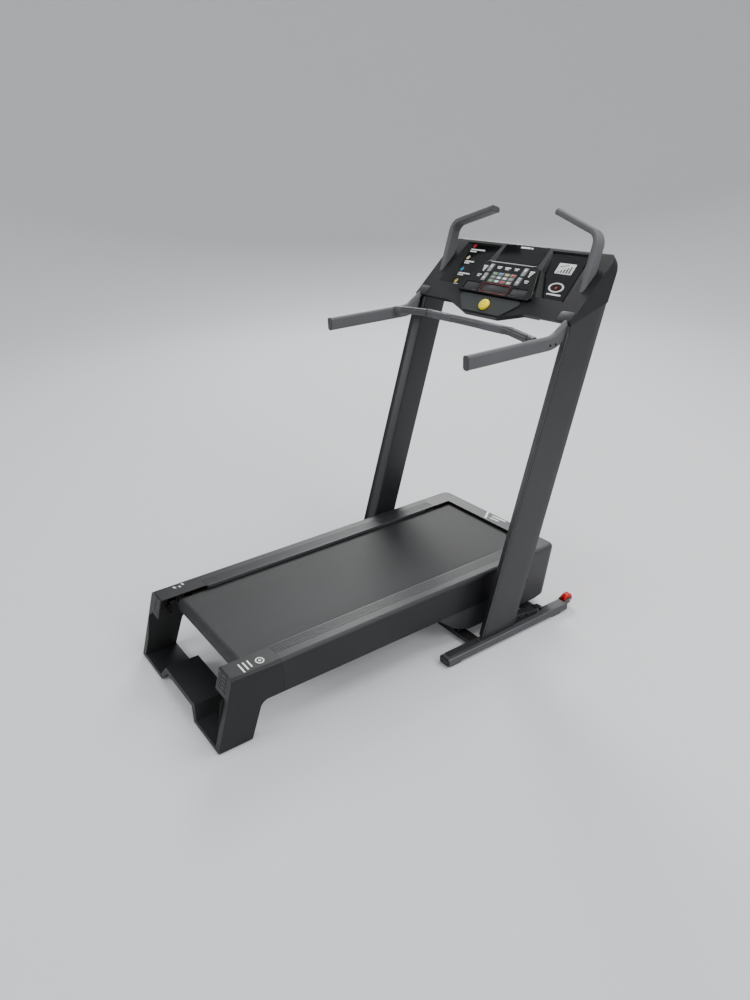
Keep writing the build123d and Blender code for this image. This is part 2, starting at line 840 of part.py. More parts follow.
def deck_beam():
    with BuildPart() as beam:
        with BuildSketch(Plane.XZ.offset(-beam_rear_y)):
            with Locations(((beam_in + beam_out) / 2, (beam_bottom + beam_top) / 2)):
                RectangleRounded(beam_width, beam_height, 4)
                RectangleRounded(beam_width - 2 * beam_wall, beam_height - 2 * beam_wall, 2,
                                 mode=Mode.SUBTRACT)
        extrude(amount=-(beam_front_y - beam_rear_y))
        # the rear end is closed by a plate that takes the roller's adjusting bolt
        with BuildSketch(Plane.XZ.offset(-beam_rear_y)):
            with Locations(((beam_in + beam_out) / 2, (beam_bottom + beam_top) / 2)):
                RectangleRounded(beam_width, beam_height, 4)
            with Locations((bolt_x, bolt_z)):
                Circle(bolt_radius + 0.1, mode=Mode.SUBTRACT)
        extrude(amount=-4)
        # an ear at each end carries a roller axle, and a pair of lugs the lift frame
        for y in (rear_roller_y, front_roller_y):
            with BuildSketch(Plane.YZ.offset(beam_in - ear_thickness)):
                with Locations((y, roller_z - 5)):
                    RectangleRounded(40, 56, 8)
                with Locations((y, roller_z)):
                    Circle(axle_radius + axle_play, mode=Mode.SUBTRACT)
            extrude(amount=ear_thickness + 0.5)
            with Locations(Location((beam_in, y, roller_z), (0, 90, 0))):
                Hole(axle_radius + axle_play, depth=12)
        for step in (-1, 1):
            x = lift_arm_x + step * (lift_arm_width / 2 + lift_gap + lift_lug / 2)
            with BuildSketch(Plane.YZ.offset(x - lift_lug / 2)):
                with BuildLine():
                    Polyline(
                        (deck_pivot_y - 30, beam_bottom + 3),
                        (deck_pivot_y + 30, beam_bottom + 3),
                        (deck_pivot_y + 15, deck_pivot_z - 15),
                        (deck_pivot_y - 15, deck_pivot_z - 15),
                        close=True,
                    )
                make_face()
                with Locations((deck_pivot_y, deck_pivot_z)):
                    Circle(lift_pin_radius + axle_play, mode=Mode.SUBTRACT)
            extrude(amount=lift_lug)
        # a strap joins the lug outside the beam to its bottom wall
        strap_x = lift_arm_x + lift_arm_width / 2 + lift_gap
        with BuildSketch(Plane.XY.offset(beam_bottom)):
            with Locations(((beam_in - lift_lug + strap_x + lift_lug) / 2, deck_pivot_y)):
                Rectangle(strap_x + 2 * lift_lug - beam_in, 60)
        extrude(amount=-5)
    return beam.part


both_sides(deck_beam, "deck_beam")

with BuildPart() as deck_crossmembers:
    for share in (0.1, 0.46, 0.72):
        with BuildSketch(Plane.YZ.offset(-beam_in)):
            with Locations((rear_roller_y + share * roller_span, beam_bottom - 6)):
                RectangleRounded(40, 36, 4)
                RectangleRounded(35, 31, 2.5, mode=Mode.SUBTRACT)
        extrude(amount=2 * beam_in)
    for share in (0.22, 0.5, 0.785):
        with BuildSketch(Plane.YZ.offset(-beam_in)):
            with Locations((rear_roller_y + share * roller_span, board_bottom - 16)):
                RectangleRounded(50, 26, 4)
                RectangleRounded(45, 21, 2.5, mode=Mode.SUBTRACT)
        extrude(amount=2 * beam_in)
save(deck_crossmembers.part, "deck_crossmembers")

board_rear_y = rear_roller_y + roller_radius + roller_clear
board_front_y = front_roller_y - roller_radius - roller_clear
with BuildPart() as running_deck:
    with BuildSketch(Plane.XY.offset(board_bottom)):
        with Locations((0, (board_rear_y + board_front_y) / 2)):
            RectangleRounded(2 * beam_out - 6, board_front_y - board_rear_y, 6)
        # relief for the drive belt
        with Locations((pulley_x, board_front_y)):
            Rectangle(drive_belt_width + 12, 60, mode=Mode.SUBTRACT)
    extrude(amount=deck_board_thickness)
save(running_deck.part, "running_deck")

with BuildPart() as deck_cushions:
    cushion_ys = [board_rear_y + 90 + i * (board_front_y - board_rear_y - 180) / 3 for i in range(4)]
    with BuildSketch(Plane.XY.offset(beam_top)):
        with Locations(*[(s * (beam_in + beam_out) / 2, y) for s in (-1, 1) for y in cushion_ys]):
            Circle(13)
    extrude(amount=cushion_height)
save(deck_cushions.part, "deck_cushions")

with BuildPart() as walking_belt:
    with BuildSketch(Plane.YZ.offset(-running_width / 2)):
        with Locations(((rear_roller_y + front_roller_y) / 2, roller_z)):
            SlotCenterToCenter(roller_span, 2 * (roller_radius + belt_thickness))
            SlotCenterToCenter(roller_span, 2 * roller_radius, mode=Mode.SUBTRACT)
    extrude(amount=running_width)
save(walking_belt.part, "walking_belt")


def foot_rail():
    half = deck_width / 2
    with BuildPart() as rail:
        with BuildSketch(Plane.XZ.offset(-rear_seam_y - 0.5)):
            with BuildLine():
                Polyline(
                    (rail_in, board_top),
                    (rail_in, rail_height),
                    (half, rail_height),
                    (half, skirt_bottom),
                    (half - skin, skirt_bottom),
                    (half - skin, rail_height - rail_plate),
                    (rail_in + skin, rail_height - rail_plate),
                    (rail_in + skin, board_top),
                    close=True,
                )
            make_face()
            outer_corner = [v for v in vertices() if v.X > half - 1 and v.Y > rail_height - 1]
            fillet(outer_corner, edge_round)
            inner_corner = [v for v in vertices() if abs(v.X - half + skin) < 0.1 and v.Y > rail_height - 5]
            fillet(inner_corner, edge_round - skin)
        extrude(amount=-(front_seam_y - rear_seam_y - 1))
        groove_y = (rear_seam_y + front_seam_y) / 2
        with BuildSketch(Plane.XY.offset(rail_height)):
            with Locations(*[(rail_in + 14 + i * groove_pitch, groove_y) for i in range(groove_count)]):
                Rectangle(groove_width, front_seam_y - rear_seam_y)
        extrude(amount=-groove_depth, mode=Mode.SUBTRACT)
    return rail.part


both_sides(foot_rail, "foot_rail")

# ---------------------------------------------------------------- rear stand and caps
stand_in = deck_width / 2 - leg_thickness
foot_front_low = rear_y + foot_length


def stand_profile():
    """Side outline of the rear legs."""
    return [
        (leg_rear_y(pad_height), pad_height),
        (foot_front_low, pad_height),
        (foot_front_low + 58, skirt_bottom),
        (rear_seam_y, skirt_bottom),
        (rear_seam_y, rail_height),
        (leg_rear_y(rail_height), rail_height),
    ]


half = deck_width / 2
foot_side_y = foot_front_low + 58 * (90 - pad_height) / (skirt_bottom - pad_height)
foot_limit = side_block(
    [
        (leg_rear_y(pad_height), pad_height),
        (foot_front_low, pad_height),
        (foot_side_y, 90),
        (leg_rear_y(90), 90),
    ],
    -half,
    half,
)
with BuildPart() as rear_stand:
    # the foot between the legs, raised in the middle
    with BuildSketch(Plane.XZ.offset(-rear_y)):
        low, top = pad_height, pad_height + foot_plate
        with BuildLine():
            Polyline(
                (-stand_in - 1, top),
                (-tunnel_half - tunnel_run, top),
                (-tunnel_half, tunnel_height + tunnel_plate),
                (tunnel_half, tunnel_height + tunnel_plate),
                (tunnel_half + tunnel_run, top),
                (stand_in + 1, top),
                (stand_in + 1, low),
                (tunnel_half + tunnel_run - 18, low),
                (tunnel_half - 22, tunnel_height),
                (22 - tunnel_half, tunnel_height),
                (18 - tunnel_half - tunnel_run, low),
                (-stand_in - 1, low),
                close=True,
            )
        make_face()
    extrude(amount=-(foot_length + 60))
    add(foot_limit, mode=Mode.INTERSECT)
    for side in (-1, 1):
        with BuildSketch(Plane.YZ.offset(stand_in if side > 0 else -half)):
            with BuildLine():
                Polyline(*stand_profile(), close=True)
            make_face()
            fillet([v for v in vertices() if abs(v.X - foot_front_low - 58) < 0.1], 40)
        extrude(amount=leg_thickness)
    top_edges = rear_stand.edges().filter_by(
        lambda e: abs(abs(e.center().X) - half) < 0.1 and e.center().Z > rail_height - 1
    )
    fillet(top_edges, edge_round)
save(rear_stand.part, "rear_stand")

with BuildPart() as rear_pads:
    with BuildSketch():
        with Locations(*[(s * (stand_in + tunnel_half + tunnel_run) / 2, rear_y + 4 + foot_length / 2)
                         for s in (-1, 1)]):
            RectangleRounded(stand_in - tunnel_half - tunnel_run, foot_length - 24, 12)
    extrude(amount=pad_height)
save(rear_pads.part, "rear_pads")


def rear_cap():
    """Top cover over the roller's end, with a rear wall that follows the leg."""
    low = 214.0
    points = [
        (leg_rear_y(low), low),
        (leg_rear_y(low) + skin, low),
        (leg_rear_y(rail_height - rail_plate) + skin, rail_height - rail_plate),
        (rear_seam_y, rail_height - rail_plate),
        (rear_seam_y, rail_height),
        (leg_rear_y(rail_height), rail_height),
    ]
    cap = side_block(points, rail_in + 6, stand_in)
    top_rear = cap.edges().filter_by(Axis.X).filter_by(
        lambda e: e.center().Z > rail_height - 1 and e.center().Y < leg_rear_y(rail_height) + 1
    )
    return fillet(top_rear, 8)


both_sides(rear_cap, "rear_cap")

# ---------------------------------------------------------------- hood and belly pan
def hood_solid(inset):
    """The hood as a closed form with rounded top edges, shrunk by inset."""
    half = deck_width / 2 - inset
    rear = front_seam_y - (1 if inset else 0)
    low = skirt_bottom - (1 if inset else 0)
    top = rail_height - (rail_plate if inset else 0)
    block = side_block(
        [
            (rear, low),
            (hood_plane_y(low) - inset, low),
            (hood_plane_y(top) - inset, top),
            (rear, top),
        ],
        -half,
        half,
    )
    corners = block.edges().filter_by(
        lambda e: abs(e.center().X) > half - 1 and e.center().Y > rear + 50
        and low + 10 < e.center().Z < top - 10
    )
    block = fillet(corners, hood_corner - inset)
    rim = block.edges().filter_by(lambda e: e.center().Z > top - 0.5 and e.center().Y > rear + 5)
    return fillet(rim, edge_round - inset)


belt_window = box_between(
    (-rail_in, front_seam_y - 1, running_height - 20), (rail_in, nose_y, rail_height + 5)
)
motor_hood = hood_solid(0) - hood_solid(skin) - belt_window
save(motor_hood, "motor_hood")

pan_half = deck_width / 2
pan_rear_y = front_y - 866.0


def pan_solid(inset):
    """The belly under the motor as a closed form, shrunk by inset."""
    low = pan_bottom + inset
    top = skirt_bottom + (1 if inset else 0)
    half = pan_half - inset
    with BuildPart() as block:
        with BuildSketch(Plane.YZ.offset(-half)):
            with BuildLine():
                Polyline(
                    (pan_rear_y + inset, top),
                    (pan_rear_y + 82 + inset, 83 + inset),
                    (pan_rear_y + 168, low),
                    (hood_plane_y(pan_bottom + 15) - 78, low),
                    (hood_plane_y(pan_bottom + 15) - inset, pan_bottom + 15 + inset / 2),
                    (hood_plane_y(top) - inset, top),
                    close=True,
                )
            make_face()
            fillet([v for v in vertices() if v.Y < top - 20 and v.X < pan_rear_y + 200], 60)
        extrude(amount=2 * half)
        front = block.edges().filter_by(
            lambda e: abs(e.center().X) > half - 1 and e.center().Y > hood_plane_y(pan_bottom) - 5
            and pan_bottom + 20 < e.center().Z < top - 10
        )
        fillet(front, hood_corner - inset)
    return block.part


pan = pan_solid(0) - pan_solid(skin)
slot_half = lift_arm_width / 2 + lift_gap + lift_lug + 3
for side in (-1, 1):
    pan = pan - box_between(
        (side * lift_arm_x - slot_half, front_y - 860.0, pan_bottom - 5),
        (side * lift_arm_x + slot_half, deck_pivot_y + 34, skirt_bottom - 12),
    )

# ---------------------------------------------------------------- rollers and drive
for y, name, pulley in ((rear_roller_y, "rear_roller", False), (front_roller_y, "front_roller", True)):
    with BuildPart() as roller:
        with BuildSketch(Plane.YZ.offset(-roller_face)):
            with Locations((y, roller_z)):
                Circle(roller_radius - running_gap)
        extrude(amount=2 * roller_face)
        chamfer(roller.edges().filter_by(GeomType.CIRCLE), 1.5)
        with BuildSketch(Plane.YZ.offset(-beam_in - 4)):
            with Locations((y, roller_z)):
                Circle(axle_radius)
        extrude(amount=2 * beam_in + 8)
        if pulley:
            groove_half = drive_belt_width / 2 + 1
            for x0, x1, r in (
                (pulley_x - groove_half, pulley_x + groove_half, roller_pulley_radius - running_gap),
                (pulley_x + groove_half, pulley_x + groove_half + 2.5, roller_pulley_radius + 2),
            ):
                with BuildSketch(Plane.YZ.offset(x0)):
                    with Locations((y, roller_z)):
                        Circle(r)
                extrude(amount=x1 - x0)
    save(roller.part, name)

pulley_half = drive_belt_width / 2 + 2
with BuildPart() as motor_flywheel:
    for x0, x1, r in (
        (pulley_x - pulley_half, pulley_x + pulley_half, motor_pulley_radius - running_gap),
        (pulley_x - pulley_half - flywheel_width, pulley_x - pulley_half, flywheel_radius),
        (pulley_x, motor_out + 40, motor_shaft_radius - 0.5),
    ):
        with BuildSketch(Plane.YZ.offset(x0)):
            with Locations((motor_y, motor_z)):
                Circle(r)
        extrude(amount=x1 - x0)
save(motor_flywheel.part, "motor_flywheel")

with BuildPart() as drive_motor:
    with BuildSketch(Plane.YZ.offset(motor_out)):
        with Locations((motor_y, motor_z)):
            Circle(motor_radius)
    extrude(amount=motor_in - motor_out)
    chamfer(drive_motor.edges().filter_by(GeomType.CIRCLE), 6)
    # feet down to the pan
    with BuildSketch(Plane.XY.offset(pan_bottom + skin)):
        for x in (motor_out + 30, motor_in - 30):
            with Locations((x, motor_y)):
                Rectangle(24, 96)
    extrude(amount=motor_z - motor_radius * 0.7 - pan_bottom - skin)
    with Locations(Location((motor_out, motor_y, motor_z), (0, -90, 0))):
        Hole(motor_shaft_radius, depth=50)
    with BuildSketch(Plane.YZ.offset(motor_out - 1)):
        with Locations((motor_y, motor_z)):
            Circle(motor_shaft_radius)
    extrude(amount=52, mode=Mode.SUBTRACT)
save(drive_motor.part, "drive_motor")


def belt_loop(centre_a, radius_a, centre_b, radius_b):
    """The outline round two pulleys, made from its two discs and the tangent quadrilateral."""
    (ya, za), (yb, zb) = centre_a, centre_b
    length = math.hypot(yb - ya, zb - za)
    along = math.atan2(zb - za, yb - ya)
    spread = math.acos((radius_a - radius_b) / length)
    touches = []
    for sign in (1, -1):
        angle = along + sign * spread
        touches.append(
            (
                (ya + radius_a * math.cos(angle), za + radius_a * math.sin(angle)),
                (yb + radius_b * math.cos(angle), zb + radius_b * math.sin(angle)),
            )
        )
    with BuildSketch(Plane.YZ.offset(pulley_x - drive_belt_width / 2)) as outline:
        with Locations(centre_a):
            Circle(radius_a)
        with Locations(centre_b):
            Circle(radius_b)
        Polygon(touches[0][0], touches[0][1], touches[1][1], touches[1][0], align=None)
    return extrude(outline.sketch, amount=drive_belt_width)


roller_centre = (front_roller_y, roller_z)
motor_centre = (motor_y, motor_z)
belt_outside = belt_loop(
    roller_centre,
    roller_pulley_radius + drive_belt_thickness,
    motor_centre,
    motor_pulley_radius + drive_belt_thickness,
)
belt_inside = belt_loop(roller_centre, roller_pulley_radius, motor_centre, motor_pulley_radius)
save(belt_outside - belt_inside, "drive_belt")

with BuildPart() as motor_controller:
    controller_y = motor_y - 190
    with BuildSketch(Plane.XY.offset(pan_bottom + skin)):
        with Locations((-160, controller_y)):
            RectangleRounded(190, 120, 4)
    extrude(amount=8)
    with BuildSketch(Plane.XY.offset(pan_bottom + skin + 8)):
        with Locations(*[(-160 - 88 + i * 16, controller_y) for i in range(12)]):
            Rectangle(4, 116)
    extrude(amount=34)
save(motor_controller.part, "motor_controller")

with BuildPart() as roller_bolts:
    # adjusting bolts of the rear roller, in from behind
    for side in (-1, 1):
        with BuildSketch(Plane.XZ.offset(-(beam_rear_y - 8))):
            with Locations((side * bolt_x, bolt_z)):
                RegularPolygon(9, 6)
        extrude(amount=-8)
        with BuildSketch(Plane.XZ.offset(-beam_rear_y)):
            with Locations((side * bolt_x, bolt_z)):
                Circle(bolt_radius)
        extrude(amount=-36)
save(roller_bolts.part, "roller_bolts")

# ---------------------------------------------------------------- power inlet and switch
inlet_x = 250.0
inlet_z = 100.0
inlet_y = hood_plane_y(inlet_z)
front_wall = Plane(
    origin=(inlet_x, inlet_y, inlet_z),
    x_dir=(-1, 0, 0),
    z_dir=(0, math.cos(math.atan(hood_slope)), -math.sin(math.atan(hood_slope))),
)
switch_axle = Plane(
    origin=front_wall.from_local_coords(Vector(20, 0, 0)),
    x_dir=front_wall.x_dir,
    z_dir=front_wall.y_dir,
)
with BuildPart() as power_inlet:
    with BuildSketch(front_wall):
        RectangleRounded(78, 34, 4)
    extrude(amount=2.5)
    with BuildSketch(front_wall):
        Rectangle(70, 27)
    extrude(amount=-skin - 24)
    # mains socket and the well of the rocker switch
    with BuildSketch(front_wall.offset(2.5)):
        with Locations((-17, 0)):
            RectangleRounded(27, 20, 4)
    extrude(amount=-18, mode=Mode.SUBTRACT)
    with BuildSketch(front_wall.offset(-15.5)):
        with Locations((-17 - 7, -3), (-17 + 7, -3), (-17, 4)):
            Rectangle(2, 4)
    extrude(amount=8)
    with BuildSketch(front_wall.offset(2.5)):
        with Locations((20, 0)):
            Rectangle(22, 17)
    extrude(amount=-14, mode=Mode.SUBTRACT)
    with BuildSketch(switch_axle.offset(-10)):
        Circle(2 + axle_play)
    extrude(amount=20, mode=Mode.SUBTRACT)
save(power_inlet.part, "power_inlet")

with BuildPart() as power_switch:
    with BuildSketch(front_wall.offset(-4)):
        with Locations((20, 0)):
            Rectangle(20, 15)
    extrude(amount=8.5)
    fillet(power_switch.faces().sort_by(Axis(front_wall.origin, front_wall.z_dir))[-1].edges(), 1)
    with BuildSketch(switch_axle.offset(-9.5)):
        Circle(2)
    extrude(amount=19)
save(power_switch.part, "power_switch")

pan = pan - front_wall * box_between((-35.3, -13.8, -skin - 6), (35.3, 13.8, 4))
save(largest(pan), "belly_pan")


# ---------------------------------------------------------------- lift frame and actuator
reach = math.hypot(deck_pivot_y - base_pivot_y, deck_pivot_z - base_pivot_z)
arm_plane = Plane(
    origin=(0, base_pivot_y, base_pivot_z),
    x_dir=(0, deck_pivot_y - base_pivot_y, deck_pivot_z - base_pivot_z),
    z_dir=(1, 0, 0),
)
lever_y = deck_pivot_y + lever_length * math.cos(math.radians(lever_angle))
lever_z = deck_pivot_z + lever_length * math.sin(math.radians(lever_angle))
pin_reach = lift_arm_width / 2 + lift_gap + lift_lug + 3
tube_at = arm_plane.from_local_coords(Vector(reach - torque_tube_back, 0, 0))
plate_gap = 9.0             # half the space between the lever's two plates

with BuildPart() as lift_frame:
    for side in (-1, 1):
        with BuildSketch(arm_plane.offset(side * lift_arm_x - lift_arm_width / 2)):
            with Locations((reach / 2, 0)):
                SlotCenterToCenter(reach, lift_arm_height)
        extrude(amount=lift_arm_width)
        for y, z in ((base_pivot_y, base_pivot_z), (deck_pivot_y, deck_pivot_z)):
            with BuildSketch(Plane.YZ.offset(side * lift_arm_x - pin_reach)):
                with Locations((y, z)):
                    Circle(lift_pin_radius)
            extrude(amount=2 * pin_reach)
    # torque tube between the arms, close to the deck's pivot
    with BuildSketch(Plane.YZ.offset(-lift_arm_x)):
        with Locations((tube_at.Y, tube_at.Z)):
            Circle(torque_tube_radius)
            Circle(torque_tube_radius - 3, mode=Mode.SUBTRACT)
    extrude(amount=2 * lift_arm_x)
    # a lever of two plates, with the pin that the screw's eye pulls on
    for low_x in (actuator_x - plate_gap - 6, actuator_x + plate_gap):
        with BuildSketch(Plane.YZ.offset(low_x)):
            with BuildLine():
                Polyline(
                    (tube_at.Y - torque_tube_radius + 1, tube_at.Z),
                    (tube_at.Y + torque_tube_radius - 1, tube_at.Z),
                    (lever_y + 9, lever_z),
                    (lever_y - 9, lever_z),
                    close=True,
                )
            make_face()
            with Locations((lever_y, lever_z)):
                Circle(9)
            with Locations((tube_at.Y, tube_at.Z)):
                Circle(torque_tube_radius - 1, mode=Mode.SUBTRACT)
        extrude(amount=6)
    with BuildSketch(Plane.YZ.offset(actuator_x - plate_gap - 6)):
        with Locations((lever_y, lever_z)):
            Circle(screw_pin)
    extrude(amount=2 * plate_gap + 12)
save(lift_frame.part, "lift_frame")

actuator_z = lever_z - 1
tube_front_y = lever_y - 90
with BuildPart() as incline_motor:
    # gearbox, the tube that the screw runs out of, and the motor beside it
    with BuildSketch(Plane.XY.offset(pan_bottom + skin)):
        with Locations((actuator_x + 25, actuator_rear_y + 35)):
            RectangleRounded(106, 70, 8)
    extrude(amount=2 * (actuator_z - pan_bottom - skin))
    with BuildSketch(Plane.XZ.offset(-(actuator_rear_y + 70))):
        with Locations((actuator_x, actuator_z)):
            Circle(15)
    extrude(amount=-(tube_front_y - actuator_rear_y - 70))
    with BuildSketch(Plane.XZ.offset(-(actuator_rear_y + 70))):
        with Locations((actuator_x + 50, actuator_z + 8)):
            Circle(26)
    extrude(amount=-105)
    with BuildSketch(Plane.XZ.offset(-(actuator_rear_y + 65))):
        with Locations((actuator_x, actuator_z)):
            Circle(screw_radius + 0.05)
    extrude(amount=-(tube_front_y - actuator_rear_y), mode=Mode.SUBTRACT)
save(incline_motor.part, "incline_motor")

screw_rear = actuator_rear_y + 70
with BuildPart() as incline_screw:
    with BuildSketch(Plane.XZ.offset(-screw_rear)):
        with Locations((actuator_x, actuator_z)):
            Circle(screw_radius)
    extrude(amount=-(lever_y - 8 - screw_rear))
    # the flattened eye between the lever's plates
    with BuildSketch(Plane.YZ.offset(actuator_x - plate_gap + 1)):
        with Locations((lever_y, actuator_z)):
            SlotCenterToCenter(6, 2 * screw_eye)
            Rectangle(2 * screw_pin + 0.6, 2 * (screw_pin + screw_pin_play), mode=Mode.SUBTRACT)
    extrude(amount=2 * plate_gap - 2)
save(incline_screw.part, "incline_screw")
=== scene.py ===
import bpy
import math
from mathutils import Matrix, Vector


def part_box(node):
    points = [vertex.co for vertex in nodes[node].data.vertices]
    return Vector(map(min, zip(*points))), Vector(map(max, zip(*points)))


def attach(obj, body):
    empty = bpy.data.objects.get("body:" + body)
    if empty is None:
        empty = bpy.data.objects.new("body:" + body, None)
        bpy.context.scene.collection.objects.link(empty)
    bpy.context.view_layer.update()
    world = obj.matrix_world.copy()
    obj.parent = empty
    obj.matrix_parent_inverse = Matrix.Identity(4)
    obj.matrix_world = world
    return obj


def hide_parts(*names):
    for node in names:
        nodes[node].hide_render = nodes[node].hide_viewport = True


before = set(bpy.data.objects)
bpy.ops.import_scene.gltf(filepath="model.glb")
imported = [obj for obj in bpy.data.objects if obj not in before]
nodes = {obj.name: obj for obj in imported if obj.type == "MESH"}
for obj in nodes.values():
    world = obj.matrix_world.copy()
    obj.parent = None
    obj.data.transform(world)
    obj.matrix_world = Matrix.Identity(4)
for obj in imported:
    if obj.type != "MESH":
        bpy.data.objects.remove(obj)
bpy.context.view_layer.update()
print("frame loaded")


def toLinear(hexColour):
    parts = [int(hexColour[i:i + 2], 16) / 255 for i in (1, 3, 5)]
    return [c / 12.92 if c <= 0.04045 else ((c + 0.055) / 1.055) ** 2.4 for c in parts] + [1.0]


def addNode(tree, kind, settings=None, links=None):
    node = tree.nodes.new(kind)
    for key, value in (settings or {}).items():
        if key in node.inputs:
            node.inputs[key].default_value = value
        else:
            setattr(node, key, value)
    for key, source in (links or {}).items():
        tree.links.new(source, node.inputs[key])
    return node


def newMaterial(name, colour, roughness, metallic=0.0, **shader):
    material = bpy.data.materials.new(name)
    material.use_nodes = True
    tree = material.node_tree
    bsdf = tree.nodes["Principled BSDF"]
    bsdf.inputs["Base Color"].default_value = toLinear(colour)
    bsdf.inputs["Roughness"].default_value = roughness
    bsdf.inputs["Metallic"].default_value = metallic
    for key, value in shader.items():
        bsdf.inputs[key.replace("_", " ")].default_value = value
    return material, tree, bsdf


def softEdge(tree, radius):
    # small moulded or rolled edge round, which the frame's sharp corners lack
    return addNode(tree, "ShaderNodeBevel", {"samples": 4, "Radius": radius}).outputs["Normal"]


def laidOn(tree, kind, settings):
    # a texture on the object's own coordinates
    place = addNode(tree, "ShaderNodeTexCoord")
    return addNode(tree, kind, settings, {"Vector": place.outputs["Object"]})


def noise(tree, scale, detail, roughness=0.5):
    return laidOn(tree, "ShaderNodeTexNoise", {"Scale": scale, "Detail": detail, "Roughness": roughness})


def shadeBetween(tree, bsdf, source, low, colour, high, lighter):
    # lets the colour wander between two close tones, so that a large face isn't flat
    ramp = addNode(tree, "ShaderNodeValToRGB", links={"Fac": source.outputs["Fac"]})
    for index, position, tone in ((0, low, colour), (1, high, lighter)):
        ramp.color_ramp.elements[index].position = position
        ramp.color_ramp.elements[index].color = toLinear(tone)
    tree.links.new(ramp.outputs["Color"], bsdf.inputs["Base Color"])


def roughen(tree, bsdf, source, smoothest, roughest, low=0.0, high=1.0):
    # lets the roughness wander, so that the shine breaks up
    gloss = addNode(tree, "ShaderNodeMapRange",
                    {"From Min": low, "From Max": high, "To Min": smoothest, "To Max": roughest},
                    {"Value": source.outputs["Fac"]})
    tree.links.new(gloss.outputs["Result"], bsdf.inputs["Roughness"])


def emboss(tree, bsdf, height, strength, distance, edge=None):
    # raises a texture as fine relief, on top of the rounded edge if there is one
    links = {"Height": height, "Normal": edge} if edge else {"Height": height}
    bump = addNode(tree, "ShaderNodeBump", {"Strength": strength, "Distance": distance}, links)
    tree.links.new(bump.outputs["Normal"], bsdf.inputs["Normal"])


def mouldedAbs(name, colour, lighter, roughness, grain, depth):
    # ABS, spark-eroded mould texture: a fine even grain that scatters and dulls the shine,
    # with broad patches a shade lighter
    material, tree, bsdf = newMaterial(name, colour, roughness, IOR=1.53, Specular_IOR_Level=0.36)
    fine = noise(tree, 1 / grain, 3.0, 0.65)
    shadeBetween(tree, bsdf, noise(tree, 3.5, 2.0), 0.3, colour, 0.75, lighter)
    roughen(tree, bsdf, fine, roughness - 0.05, roughness + 0.06, 0.3, 0.7)
    emboss(tree, bsdf, fine.outputs["Fac"], 0.5, depth, softEdge(tree, 0.0012))
    return material


def powderCoat(name, colour, lighter, roughness):
    # polyester powder coat, baked on steel tube: satin with a faint orange peel
    peelSize = 0.0022
    material, tree, bsdf = newMaterial(name, colour, roughness, IOR=1.5)
    peel = laidOn(tree, "ShaderNodeTexVoronoi",
                  {"feature": "SMOOTH_F1", "Scale": 1 / peelSize, "Smoothness": 1.0})
    shadeBetween(tree, bsdf, noise(tree, 2.2, 3.0), 0.32, colour, 0.72, lighter)
    emboss(tree, bsdf, peel.outputs["Distance"], 0.18, 0.0001, softEdge(tree, 0.0015))
    return material


def glossPlastic(name, colour, roughness):
    # acrylic, epoxy or polyurethane, polished mould: deep colour with a clear reflection and faint dust
    material, tree, bsdf = newMaterial(name, colour, roughness, IOR=1.49)
    roughen(tree, bsdf, noise(tree, 60.0, 6.0, 0.7), roughness, roughness + 0.12, 0.35, 0.75)
    tree.links.new(softEdge(tree, 0.0008), bsdf.inputs["Normal"])
    return material


def printedInk(name, colour):
    # screen-printed ink: flat, nearly matte, a hair of unevenness where the mesh laid it down
    material, tree, bsdf = newMaterial(name, colour, 0.5, IOR=1.5)
    roughen(tree, bsdf, noise(tree, 900.0, 1.0), 0.42, 0.6)
    return material


def gripRubber(name, colour, lighter):
    # thermoplastic rubber over tube, leather-grained mould: soft, matte, faint cells
    cellSize = 0.0018
    material, tree, bsdf = newMaterial(name, colour, 0.6, IOR=1.5, Sheen_Weight=0.08, Sheen_Roughness=0.5)
    cells = laidOn(tree, "ShaderNodeTexVoronoi", {"feature": "DISTANCE_TO_EDGE", "Scale": 1 / cellSize})
    shadeBetween(tree, bsdf, noise(tree, 6.0, 2.0), 0.3, colour, 0.8, lighter)
    emboss(tree, bsdf, cells.outputs["Distance"], 0.25, 0.0002, softEdge(tree, 0.0015))
    return material


def wovenBelt():
    # PVC on polyester weave, embossed by the calender: crossed ribs, about 2 mm apart, that kill the
    # shine, and faint wear lanes along its length
    ribPitch = 0.0006 * math.pi
    bandsPerUnit = 10 / math.pi  # of a wave texture at scale 1
    material, tree, bsdf = newMaterial("pvcBelt_embossed", "#0f1011", 0.60, IOR=1.52)
    place = addNode(tree, "ShaderNodeTexCoord")
    turned = addNode(tree, "ShaderNodeMapping", {"Rotation": (0, 0, math.radians(45))},
                     {"Vector": place.outputs["Object"]})
    ribScale = 1 / ribPitch / bandsPerUnit
    first, second = (addNode(tree, "ShaderNodeTexWave",
                             {"bands_direction": axis, "Scale": ribScale, "Distortion": 0.2},
                             {"Vector": turned.outputs["Vector"]}) for axis in ("X", "Y"))
    weave = addNode(tree, "ShaderNodeMath", {"operation": "MULTIPLY"},
                    {0: first.outputs["Fac"], 1: second.outputs["Fac"]})
    stretched = addNode(tree, "ShaderNodeMapping", {"Scale": (9.0, 1.2, 1.0)},
                        {"Vector": place.outputs["Object"]})
    lanes = addNode(tree, "ShaderNodeTexNoise", {"Scale": 1.0, "Detail": 4.0},
                    {"Vector": stretched.outputs["Vector"]})
    shadeBetween(tree, bsdf, lanes, 0.35, "#0f0f10", 0.72, "#161718")
    emboss(tree, bsdf, weave.outputs["Value"], 0.6, 0.0004)
    return material


def turnedSteel(name, colour, roughness):
    # mild steel, turned: fine rings across the machine's width that stretch the highlight
    material, tree, bsdf = newMaterial(name, colour, roughness, 1.0)
    rings = laidOn(tree, "ShaderNodeTexWave",
                   {"bands_direction": "X", "Scale": 160.0, "Distortion": 0.6, "Detail": 2.0})
    emboss(tree, bsdf, rings.outputs["Fac"], 0.15, 0.0001)
    return material


